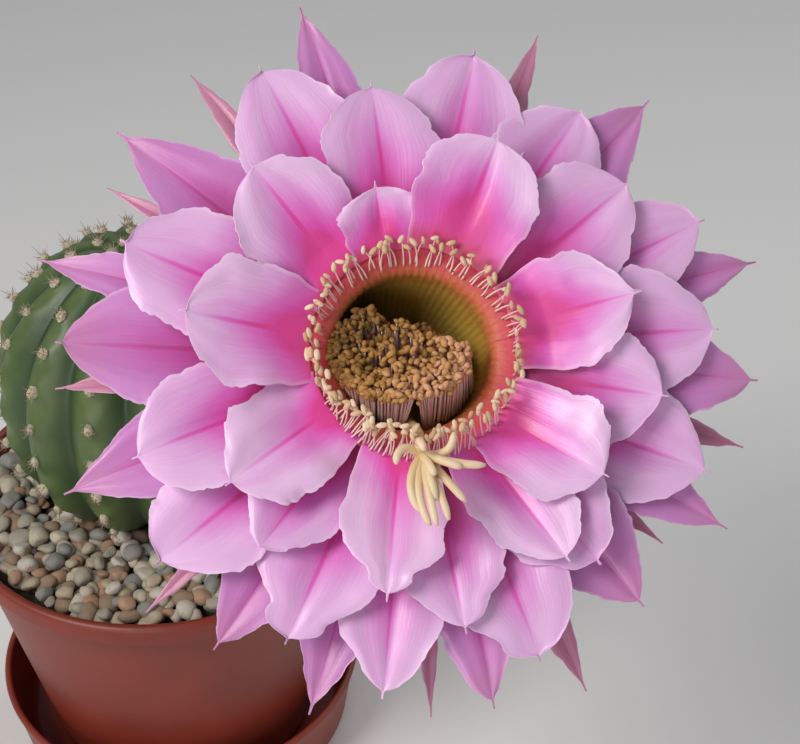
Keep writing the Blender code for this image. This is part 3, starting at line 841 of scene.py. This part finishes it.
def make_tube_scales():
    """Small pointed scales in spirals along the tube, with tufts of hair in their axils."""
    draw = np.random.default_rng(41)
    rows, columns = SCALE_GRID
    shares, swings = np.linspace(0, 1, rows), np.linspace(-1, 1, columns)
    flat = np.zeros((rows, columns, 3))
    flat[..., 0], flat[..., 1] = shares[:, None], swings
    sheets, paths, radii, tones = [], [], [], []
    steps = np.linspace(0, 1, 5)[:, None]
    for i in range(SCALES):
        back = 16 + (TUBE_LENGTH - 26) * (i + 0.5) / SCALES
        turn = GOLDEN_TURN * i
        length = (13.0 - 7.5 * (i / SCALES)) * draw.uniform(0.85, 1.15)
        width = 3.6 * draw.uniform(0.85, 1.1)
        grid = np.zeros((rows, columns, 3))
        for r, share in enumerate(shares):
            here = back - length * share
            near = tube_outer_r(here)
            lift = 0.35 + 1.5 * share ** 2
            half = width / 2 * (1 - share ** 1.6) + 0.12
            for c, swing in enumerate(swings):
                radius = near + lift + 0.25 * (1 - swing ** 2)
                grid[r, c] = tube_spot(here, turn + swing * half / max(near, 6), radius)[0]
        radius = tube_outer_r(back)
        out = tube_spot(back, turn, radius)[1]
        sheets.append(sheet_between((grid + out * 0.16).reshape(-1, 3),
                                    (grid - out * 0.16).reshape(-1, 3), rows, columns))
        spot, out, way = tube_spot(back - 0.5, turn, radius + 0.2)
        for _ in range(HAIRS_A_SCALE):
            reach = draw.uniform(3.5, 7.5)
            lean = unit(out * draw.uniform(0.5, 1.1) - way * draw.uniform(-0.2, 0.9)
                        + np.cross(out, way) * draw.normal(0, 0.6))
            sag = draw.normal(0, 0.35, 3)
            start = spot + draw.normal(0, 0.5, 3)
            paths.append(start + lean * reach * steps + sag * reach * 0.5 * steps ** 2)
            radii.append(0.075 * (1 - 0.7 * steps[:, 0]))
            tones.append(np.full(5, draw.uniform(0, 1)))
    scale = scale_look()
    hair = strand_look("tube_hair", 0.7, (0.0, (0.20, 0.16, 0.12)), (1.0, (0.55, 0.50, 0.42)))
    add_piece("tube_scales", *joined(sheets), scale, "tube_skin",
              blade=np.concatenate([flat.reshape(-1, 3)] * (2 * SCALES)))
    add_strands("tube_hairs", paths, radii, hair, "tube_skin", tones, sides=3)


# ---------------------------------------------------------------- stamens and style


def bezier(start, control, end, steps):
    t = np.linspace(0, 1, steps)[:, None]
    return start * (1 - t) ** 2 + control * (2 * t * (1 - t)) + end * t ** 2


def anther_form(base, index):
    """A bean with a groove along its back."""
    shaped = base.copy()
    groove = np.exp(-(base[:, 1] / 0.35) ** 2) * np.clip(base[:, 2], 0, 1)
    shaped[:, 2] -= 0.30 * groove
    shaped[:, 0] *= 1 + 0.12 * np.abs(base[:, 1])
    return shaped


RING_STAMENS = 150
FILAMENT_STEPS = 10
RING_ANTHER = np.array([1.18, 0.66, 0.58])
BUNCH_ANTHER = np.array([1.0, 0.68, 0.60])

# The bunch's crown of anthers: its centre, to the right, up and out along the flower's axis, the
# way it faces, and the radius of each shell of stamens with their number
CROWN = np.array([-3.3, 0.9, 1.4])
CROWN_FACING = unit([-0.02, 0.42, 0.90])
CROWN_SHELLS = ((15.1, 116), (14.4, 96), (13.5, 72), (12.4, 60), (11.1, 52), (9.8, 44),
                (8.4, 36), (6.9, 28), (5.2, 20), (3.4, 12), (1.2, 4))
# Hollows in the crown: place to the right and up, spread and depth
CROWN_PITS = ((-5.5, 5.5, 2.4, 5.0), (-6.5, -3.5, 1.7, 4.0), (0.5, 2.0, 1.9, 3.0),
              (5.0, -2.0, 1.6, 2.5), (-1.0, 9.5, 2.4, 4.0), (-11.0, 3.0, 1.8, 3.0),
              (8.0, 5.0, 2.2, 2.5))
# The crown's far side sinks this deep, where the photo shows the bare wall of the throat
FAR_SIDE_SINKS = 9.0
# The curtain of filaments parts here, to the right of the crown's centre, and this wide
SPLIT_AT = 1.6
SPLIT = 2.6
# The plane in which the bunch's filaments rise from the throat's wall, and its radius there
BUNCH_FOOT_ALONG = -15.0
BUNCH_FOOT_R = 16.9

# The style's line: to the right, up and out along the flower's axis
STYLE_POINTS = (
    (0.0, -2.0, -44.0),
    (-0.6, -6.4, -34.0),
    (-1.2, -10.8, -22.0),
    (-1.8, -14.9, -10.0),
    (-2.2, -17.6, 0.0),
    (-2.9, -20.6, 7.4),
    (-3.6, -24.6, 11.0),
)
# Each lobe of the stigma: the way it sets out, the way it ends, and its length
STIGMA_LOBES = (
    ((-0.80, 0.60, 0.40), (-0.15, -1.00, 0.00), 9.0),
    ((-0.20, 0.75, 0.60), (0.20, -0.90, 0.30), 8.0),
    ((-0.62, -0.66, 0.35), (0.46, -0.90, 0.00), 14.0),
    ((-0.38, -0.85, 0.40), (0.36, -0.93, 0.00), 16.5),
    ((-0.05, -0.90, 0.50), (0.10, -0.97, 0.00), 16.5),
    ((0.10, -0.80, 0.70), (0.05, -0.95, -0.10), 11.5),
    ((0.24, -0.90, 0.40), (0.16, -0.98, 0.00), 15.5),
    ((0.48, -0.74, 0.40), (0.56, -0.84, -0.10), 14.0),
    ((0.80, -0.45, 0.50), (0.95, -0.12, 0.00), 14.0),
    ((0.90, -0.30, 0.40), (0.10, 1.00, 0.20), 10.0),
    ((0.60, -0.40, 0.80), (0.85, -0.45, 0.10), 10.0),
    ((0.10, -0.50, 0.95), (0.25, -0.85, 0.30), 7.5),
)


def make_stamen_ring(filament, anther):
    """The ring of shorter stamens: they lie back on the lip above and curve up below."""
    draw = np.random.default_rng(5)
    paths, centres, ways = [], [], []
    for i in range(RING_STAMENS):
        even = math.tau * (i + draw.uniform(-0.45, 0.45)) / RING_STAMENS
        # They stand closest together at the lower left
        turn = even + 0.42 * math.sin(even - math.radians(55))
        high = (1 + math.sin(turn)) / 2
        foot_r = 25.0 - 5.2 * high ** 0.8 + draw.uniform(-0.9, 0.5)
        foot_along = 0.1 - 1.8 * high
        tip_r = 19.6 + 3.6 * high + 1.4 * math.cos(turn) ** 2 + draw.uniform(-1.3, 1.8)
        tip_along = 8.6 - 5.8 * high + draw.uniform(-1.6, 1.4)
        tip = flower_polar(tip_r, turn + draw.normal(0, 0.05), tip_along)
        bulge_r = foot_r * 0.5 + tip_r * 0.5 + draw.uniform(0.0, 1.6) * (1 - 0.5 * high)
        control = flower_polar(bulge_r, turn, foot_along * 0.55 + tip_along * 0.45 + 0.4)
        path = bezier(flower_polar(foot_r, turn, foot_along), control, tip, FILAMENT_STEPS)
        paths.append(path)
        tangent = SIDE * -math.sin(turn) + UPWARD * math.cos(turn)
        ways.append(unit(tangent * draw.normal(0, 0.8) + UPWARD * 0.8
                         + AXIS * draw.uniform(-0.3, 0.6)))
        centres.append(path[-1] + unit(path[-1] - path[-2]) * 0.3)
    radii = [np.linspace(0.23, 0.13, FILAMENT_STEPS)] * RING_STAMENS
    tones = [np.linspace(0.45, 1.0, FILAMENT_STEPS)] * RING_STAMENS
    ring = add_strands("stamen_ring_filaments", paths, radii, filament, "stamen", tones)
    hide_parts("stamen_ring")
    sizes = [RING_ANTHER * draw.uniform(0.82, 1.12) for _ in centres]
    add_blobs("stamen_ring_anthers", centres, ways, sizes, 2, anther_form, anther, "stamen",
              draw.uniform(0, 1, RING_STAMENS))


def make_stamen_bunch(filament, anther):
    """The dense inner bunch: a crown of anthers over a curtain of filaments.

    The crown tilts: its lower edge stands out of the mouth and its upper edge lies inside. The
    filaments run down from it to the lower wall of the throat.
    """
    draw = np.random.default_rng(9)
    level = unit(np.cross([1, 0, 0], CROWN_FACING))
    across = np.cross(CROWN_FACING, level)
    paths, centres, ways, tones = [], [], [], []
    for shell, (radius, count) in enumerate(CROWN_SHELLS):
        for i in range(count):
            turn = math.tau * (i + 0.5 * (shell % 2) + draw.uniform(-0.35, 0.35)) / count
            reach = radius + draw.uniform(-0.6, 0.6)
            east, north = reach * math.cos(turn), -reach * math.sin(turn) * 0.86
            sunk = sum(depth * math.exp(-((east - x) ** 2 + (north - y) ** 2) / spread ** 2)
                       for x, y, spread, depth in CROWN_PITS)
            rim = -0.08 * (15.1 - radius) - 1.5 * max(0.0, (radius - 12.5) / 2.6)
            beyond = 0.59 * east + 0.81 * north - 6.6 + draw.uniform(-0.5, 0.5)
            sunk = sunk + FAR_SIDE_SINKS * smooth(beyond / 2.4)
            top = (CROWN + across * east - level * north
                   + CROWN_FACING * (rim - sunk + draw.uniform(-1.3, 1.0)))
            aside = east - SPLIT_AT
            parted = SPLIT * math.exp(-(aside / SPLIT) ** 2) * np.sign(aside) * (north < 0)
            spread_out = 1.0 + 0.16 * max(top[0], 0)
            foot = np.array([top[0] + spread_out + parted, top[1] - 6.0, BUNCH_FOOT_ALONG])
            out = math.hypot(foot[0], foot[1])
            most = BUNCH_FOOT_R * (1 - 0.02 * shell)
            if out > most:
                foot[:2] *= most / out
            control = flower_place(*(foot * 0.45 + top * 0.55 + np.array([0, -0.6, 0.6])))
            path = bezier(flower_place(*foot), control, flower_place(*top), FILAMENT_STEPS)
            paths.append(path)
            centres.append(path[-1])
            ways.append(unit(draw.normal(0, 1, 3) + AXIS * 0.4))
            # Painted shade: anthers darker towards the upper left, away from the light, and the
            # deeper they sink into the hollows and the far side, with a random tone on top
            shade = 0.44 + 0.026 * (east - north) - 0.10 * sunk + draw.uniform(-0.26, 0.26)
            tones.append(min(max(shade, 0), 1))
    count = len(paths)
    radii = [np.linspace(0.30, 0.22, FILAMENT_STEPS)] * count
    along = [np.linspace(0.0, 1.0, FILAMENT_STEPS) ** 0.6] * count
    bunch = add_strands("stamen_bunch_filaments", paths, radii, filament, "stamen", along, sides=5)
    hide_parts("stamen_bunch")
    # More anthers lie a little lower, in the gaps of the crown, painted darker as shade
    for i in range(0, count, 2):
        centres.append(centres[i] + (draw.normal(0, 0.45, 3) - 1.0 * AXIS - 0.3 * UPWARD))
        ways.append(unit(draw.normal(0, 1, 3)))
        tones.append(tones[i] * 0.7)
    sizes = [BUNCH_ANTHER * draw.uniform(0.8, 1.25) for _ in centres]
    add_blobs("stamen_bunch_anthers", centres, ways, sizes, 2, anther_form, anther, "stamen",
              tones)


def make_style():
    look = stigma_look()
    places = np.array([flower_place(*point) for point in STYLE_POINTS])
    steps = 40
    knots, fine = np.linspace(0, 1, len(places)), np.linspace(0, 1, steps)
    path = np.stack([np.interp(fine, knots, places[:, k]) for k in range(3)], axis=-1)
    for _ in range(6):
        path[1:-1] = (path[:-2] + 2 * path[1:-1] + path[2:]) / 4
    column = add_strands("style_column", [path], [np.linspace(1.0, 1.25, steps)], look, "stigma",
                         [np.full(steps, 0.35)], sides=14)
    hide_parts("style")
    steps = 14
    t = np.linspace(0, 1, steps)
    turned = (t ** 1.5)[:, None]
    radii = 1.08 * (1 - 0.24 * t)
    radii[-2:] = 0.68, 0.34
    radii = radii * (0.8 + 0.2 * np.clip(t * 4, 0, 1))
    paths = []
    for first, last, length in STIGMA_LOBES:
        ways = unit(unit(first) * (1 - turned) + unit(last) * turned)
        line = np.cumsum(ways[1:] * length / (steps - 1), axis=0)
        line = np.concatenate([np.zeros((1, 3)), line])
        paths.append(path[-1] + line[:, :1] * SIDE + line[:, 1:2] * UPWARD + line[:, 2:] * AXIS)
    count = len(paths)
    # Each lobe darker towards the hub, where the lobes crowd together: painted shade
    lobes = add_strands("stigma_lobes", paths, [radii] * count, look, "stigma",
                        [0.15 + 0.85 * t] * count, sides=12)
    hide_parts("stigma")


# ---------------------------------------------------------------- cactus body


def body_surface(turn, level):
    """A point of the ribbed globe and how near it is to a rib's crest, 0 to 1."""
    turn, level = np.broadcast_arrays(turn, level)
    height = BODY_R * np.sin(level * np.pi / 2)
    power = np.where(height < 0, 2.6, 2.05)
    radius = BODY_R * np.maximum(0, 1 - np.abs(height / BODY_R) ** power) ** (1 / power)
    rib = np.abs(np.cos(RIBS * turn / 2))
    soft = np.sqrt(rib ** 2 + 0.02)
    groove = RIB_DEPTH * (1 - np.minimum(soft, 1)) * np.minimum(1, radius / (0.75 * BODY_R))
    dimple = np.where(height > 0, 3.0 * np.maximum(0, 1 - radius / (0.35 * BODY_R)), 0.0)
    swell = np.cos(level * np.pi * AREOLES_PER_RIB - np.pi * (np.round(RIBS * turn / math.tau) % 2))
    knobs = 0.6 * swell * rib ** 6 * np.clip(radius / 20, 0, 1)
    radius = radius - groove + knobs
    place = np.stack([radius * np.cos(turn), radius * np.sin(turn), height - dimple], axis=-1)
    return BODY_CENTRE + place, rib


def make_cactus_body():
    around, rows = RIBS * 28, 150
    lowest = math.asin((BODY_FOOT_Z - BODY_CENTRE[2]) / BODY_R) / (math.pi / 2)
    turn = math.tau * np.arange(around)[None, :] / around
    level = np.linspace(lowest, 0.985, rows)[:, None]
    grid, crest = body_surface(turn, level)
    grid[..., 2] = np.maximum(grid[..., 2], BODY_FOOT_Z)
    points, faces = capped_rings(grid)
    ridge = np.concatenate([crest.ravel(), [0, 0]])
    blade = np.stack([ridge, ridge * 0, ridge * 0], axis=-1)
    body = add_piece("cactus_skin", points, faces, cactus_look(), "cactus_skin", blade=blade)
    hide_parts("cactus_body")


def areole_places():
    """Each areole on the ribs' crests, clear of the gravel and the tube: its centre and the
    outward, upward and sideways directions."""
    tube_foot = BODY_CENTRE + TUBE_START_WAY * BODY_R
    found = []
    for rib in range(RIBS):
        turn = math.tau * rib / RIBS
        side = np.array([-math.sin(turn), math.cos(turn), 0])
        for k in range(-4, AREOLES_PER_RIB // 2):
            level = 2 * (k + 0.5 * (rib % 2)) / AREOLES_PER_RIB
            here = body_surface(np.array(turn), np.array(level))[0]
            above = body_surface(np.array(turn), np.array(level + 0.01))[0]
            up = unit(above - here)
            clear = here[2] > GRAVEL_HIGH[2] + 3 and np.linalg.norm(here - tube_foot) > 11
            if clear:
                found.append((here, unit(np.cross(side, up)), up, side))
    return found


def lumpy(base, index):
    """A ball with low bumps, for a tuft of wool."""
    seed = np.random.default_rng(300 + index)
    bumps = sum(np.sin(base @ seed.normal(0, 5, 3) + seed.uniform(0, 6)) for _ in range(5))
    return base * (1 + 0.05 * bumps)[:, None]


def make_areoles():
    """Woolly tufts, each with a star of spines round a longer one, and a fuzz of fine hairs."""
    draw = np.random.default_rng(17)
    places = areole_places()
    wool = wool_look()
    sizes = [np.array([1.65, 1.40, 1.15]) * draw.uniform(0.85, 1.15) for _ in places]
    add_blobs("areole_wool", [here + out * 0.3 for here, out, _, _ in places],
              [up for _, _, up, _ in places], sizes, 3, lumpy, wool, "cactus_skin")
    paths, radii, tones = [], [], []
    fuzz_paths, fuzz_radii = [], []
    t, fuzz_t = np.linspace(0, 1, 5)[:, None], np.linspace(0, 1, 4)[:, None]
    for here, out, up, side in places:
        for k in range(STAR_SPINES + 1):
            middle = k == STAR_SPINES
            angle = math.tau * (k + draw.uniform(-0.2, 0.2)) / STAR_SPINES
            flat = up * math.sin(angle) + side * math.cos(angle)
            steep = 1.3 if middle else draw.uniform(0.4, 0.8)
            way = unit(flat * (0.25 if middle else 1.0) + out * steep)
            length = draw.uniform(2.2, 3.6) * (1.3 if middle else 0.9)
            paths.append(here + out * 0.6 + way * length * t + out * 0.5 * t ** 2)
            radii.append(0.17 * (1 - 0.85 * t[:, 0]))
            tones.append(np.clip(0.1 + t[:, 0] * 0.9, 0, 1))
        for _ in range(HAIRS_AN_AREOLE):
            way = unit(out + draw.normal(0, 0.6, 3))
            start = here + out * 0.5 + (up * draw.normal(0, 0.7) + side * draw.normal(0, 0.5))
            curl = draw.normal(0, 0.6, 3)
            fuzz_paths.append(start + way * draw.uniform(1.0, 2.0) * fuzz_t + curl * fuzz_t ** 2)
            fuzz_radii.append(0.07 * (1 - 0.6 * fuzz_t[:, 0]))
    spine = strand_look("spine", 0.5, (0.0, (0.55, 0.42, 0.26)), (0.6, (0.36, 0.22, 0.12)),
                        (1.0, (0.12, 0.06, 0.04)))
    add_strands("spines", paths, radii, spine, "cactus_skin", tones, sides=5)
    add_strands("areole_fuzz", fuzz_paths, fuzz_radii, wool, "cactus_skin", sides=3)


# ---------------------------------------------------------------- pot, saucer, gravel


def arc(centre_r, centre_z, radius, start, end, steps):
    turns = np.radians(np.linspace(start, end, steps + 1))
    return [(centre_r + radius * math.cos(turn), centre_z + radius * math.sin(turn))
            for turn in turns]


def lathe(profile, segments=160):
    turns = math.tau * np.arange(segments) / segments
    rings = [[(radius * math.cos(turn), radius * math.sin(turn), height) for turn in turns]
             for radius, height in profile]
    return capped_rings(np.array(rings))


DRAINS, DRAIN_R, DRAINS_OUT = 4, 4, 24


def make_pot(look):
    """A tapered shell with a rounded lip. The drain holes are cut through its floor."""
    base_r, lip_r, wall, lip_h = 42.5, POT_HIGH[0], 1.8, 6.5
    foot_z, lip_z = POT_LOW[2], RIM_Z - lip_h
    wall_top_r = lip_r - 3.0
    steps = np.linspace(0, 1, 14)[1:-1]
    outside = [(base_r + (wall_top_r - base_r) * s, foot_z + 1.5 + (lip_z - foot_z - 1.5) * s)
               for s in steps]
    profile = [
        (0.4, foot_z),
        *((r, foot_z) for r in np.linspace(4, base_r - 2.5, 8)),
        *arc(base_r - 1.5, foot_z + 1.5, 1.5, -90, 0, 5),
        *outside,
        (wall_top_r - 0.15, lip_z - 0.8),
        (wall_top_r, lip_z - 0.2),
        *arc(lip_r - 0.9, lip_z + 0.9, 0.9, -90, 0, 4),
        *arc(lip_r - 1.6, RIM_Z - 1.6, 1.6, 0, 180, 12),
        (lip_r - 3.4, RIM_Z - 3.0),
        (wall_top_r - wall, lip_z),
        *((r - wall, z) for r, z in outside[::-1]),
        (base_r - wall, foot_z + wall + 1.0),
        (base_r - wall - 1.0, foot_z + wall),
        (0.4, foot_z + wall),
    ]
    points, faces = lathe(profile)
    pot = add_piece("pot_shell", points, faces, look, "pot_plastic")
    cutters = []
    for i in range(DRAINS):
        turn = math.tau * (i + 0.5) / DRAINS
        bpy.ops.mesh.primitive_cylinder_add(vertices=32, radius=DRAIN_R * MM, depth=12 * MM)
        cutter = bpy.context.object
        place = (DRAINS_OUT * math.cos(turn), DRAINS_OUT * math.sin(turn), foot_z)
        cutter.location = Vector(place) * MM
        cut = pot.modifiers.new("Drain", "BOOLEAN")
        cut.object = cutter
        cutters.append(cutter)
    bpy.context.view_layer.update()
    evaluated = pot.evaluated_get(bpy.context.evaluated_depsgraph_get())
    holed = bpy.data.meshes.new_from_object(evaluated)
    pot.modifiers.clear()
    pot.data = holed
    for cutter in cutters:
        bpy.data.objects.remove(cutter, do_unlink=True)
    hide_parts("pot")


def make_saucer(look):
    base_r, lip_r, wall, floor_z, high = 53.5, SAUCER_HIGH[0], 1.6, 2.4, SAUCER_HIGH[2]
    profile = [
        (0.4, 0.0),
        *((r, 0.0) for r in np.linspace(10, base_r - 3.0, 6)),
        *arc(base_r - 2.0, 2.0, 2.0, -90, -10, 5),
        (base_r + 0.9, 8.0),
        (base_r + 1.9, 14.0),
        (lip_r - 1.0, high - 4.0),
        (lip_r - 0.5, high - 2.6),
        *arc(lip_r - 1.1, high - 1.1, 1.1, 0, 180, 8),
        (lip_r - 2.3, high - 4.0),
        (base_r + 1.9 - wall, 14.0),
        (base_r - wall, 4.6),
        (base_r - wall - 1.6, floor_z + 0.3),
        (base_r - wall - 3.0, floor_z),
        (0.4, floor_z),
    ]
    points, faces = lathe(profile)
    saucer = add_piece("saucer_shell", points, faces, look, "pot_plastic")
    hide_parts("saucer")


def pebble(base, index):
    """A ball worn flat on three sides."""
    seed = np.random.default_rng(900 + index)
    shaped = base.copy()
    for _ in range(3):
        way = unit(seed.normal(0, 1, 3))
        cut = seed.uniform(0.55, 0.85)
        over = np.clip(shaped @ way - cut, 0, None)
        shaped = shaped - over[:, None] * way * 0.75
    wave = np.sin(shaped @ seed.normal(0, 2.2, 3) + seed.uniform(0, 6))
    return shaped * (1 + 0.05 * wave)[:, None]


# The distance between the stones of each layer, from below, and between its rows as a part of it
STONE_SPACINGS = (5.6, 5.9, 6.6)
STONE_ROWS = 0.866


def make_gravel():
    """Loose rounded stones, bedded close together up to the cactus and the pot's wall."""
    draw = np.random.default_rng(23)
    outer, floor_z = POT_HIGH[0] - 6.4, GRAVEL_LOW[2]
    centres, sizes = [], []
    for layer, spacing in enumerate(STONE_SPACINGS):
        top_layer = layer == len(STONE_SPACINGS) - 1
        for row in range(int(2 * outer / (spacing * STONE_ROWS)) + 1):
            for column in range(int(2 * outer / spacing) + 1):
                x = -outer + (column + 0.5 * (row % 2)) * spacing + draw.uniform(-1.3, 1.3)
                y = -outer + row * spacing * STONE_ROWS + draw.uniform(-1.3, 1.3)
                size = draw.uniform(2.2, 4.1) * (0.94 if layer else 1.0)
                if math.hypot(x, y) + size * 0.86 > outer + 1.8:
                    continue
                z = floor_z + 1.6 + 1.75 * layer + draw.uniform(-0.5, 0.5)
                if top_layer and draw.uniform() < 0.42:
                    continue
                east, north, up = np.array([x, y, z]) - BODY_CENTRE
                level = math.asin(max(-0.999, up / BODY_R)) / (math.pi / 2)
                skin = body_surface(np.array(0.0), np.array(level))[0] - BODY_CENTRE
                if math.hypot(east, north) < skin[0] + size * 0.55:
                    continue
                centres.append((x, y, z))
                flatness = draw.uniform(0.72, 0.95), draw.uniform(0.55, 0.78)
                sizes.append(np.array([1.0, *flatness]) * size)
    ways = [(math.cos(a), math.sin(a), draw.normal(0, 0.28))
            for a in draw.uniform(0, math.tau, len(centres))]
    stones = add_blobs("gravel_stones", np.array(centres), ways, sizes, 3, pebble, stone_look(),
                       "gravel", draw.uniform(0, 1, len(centres)))
    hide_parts("gravel")


# ---------------------------------------------------------------- stage


def make_stage():
    pale = Look("studio_floor", 0.9, Base_Color=(0.78, 0.77, 0.76, 1))
    bpy.ops.mesh.primitive_plane_add(size=40.0)
    floor = bpy.context.object
    floor.name = "studio_floor"
    floor.data.materials.append(pale.made)
    world = bpy.data.worlds.new("studio")
    world.use_nodes = True
    background = world.node_tree.nodes["Background"].inputs
    background["Color"].default_value = (0.90, 0.92, 0.95, 1)
    background["Strength"].default_value = 0.29
    bpy.context.scene.world = world
    # Each lamp: its place from the flower and its size in metres, its power and its colour
    lights = (
        ("key", (-0.42, -0.30, 0.46), 0.30, 3.5, (1.0, 0.98, 0.95)),
        ("fill", (-0.30, -0.95, 0.12), 0.50, 2.2, (1.0, 0.97, 0.97)),
        ("back", (0.25, 0.65, 0.75), 0.50, 1.8, (0.97, 0.98, 1.0)),
        ("side", (0.85, 0.20, 0.15), 0.60, 1.1, (1.0, 0.98, 0.97)),
    )
    aim = Vector(MOUTH * MM)
    for name, place, size, power, tint in lights:
        light = bpy.data.lights.new(name, "AREA")
        light.size, light.energy, light.color = size, power, tint
        lamp = bpy.data.objects.new(name, light)
        lamp.location = aim + Vector(place)
        lamp.rotation_euler = (aim - lamp.location).to_track_quat("-Z", "Y").to_euler()
        bpy.context.scene.collection.objects.link(lamp)
    camera = bpy.data.cameras.new("camera")
    camera.sensor_width, camera.lens = 36.0, CAMERA_LENS
    camera.clip_start = 0.01
    eye = bpy.data.objects.new("camera", camera)
    eye.location = (Vector(CAMERA_FROM_RIM) + Vector((0, 0, RIM_Z))) * MM
    eye.rotation_euler = (math.pi / 2 - CAMERA_DOWN, 0, 0)
    bpy.context.scene.collection.objects.link(eye)
    bpy.context.scene.camera = eye
    bpy.context.scene.view_settings.view_transform = "Standard"


make_stage()
make_petals()
make_flower_tube()
make_tube_scales()
filament_look, inner_anther, outer_anther = stamen_looks()
make_stamen_ring(filament_look, outer_anther)
make_stamen_bunch(filament_look, inner_anther)
make_style()
make_cactus_body()
make_areoles()
terracotta = plastic_look("pot_plastic", (0.17, 0.021, 0.011), (0.25, 0.035, 0.018))
make_pot(terracotta)
make_saucer(terracotta)
make_gravel()
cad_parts["soil"].data.materials.clear()
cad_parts["soil"].data.materials.append(soil_look())
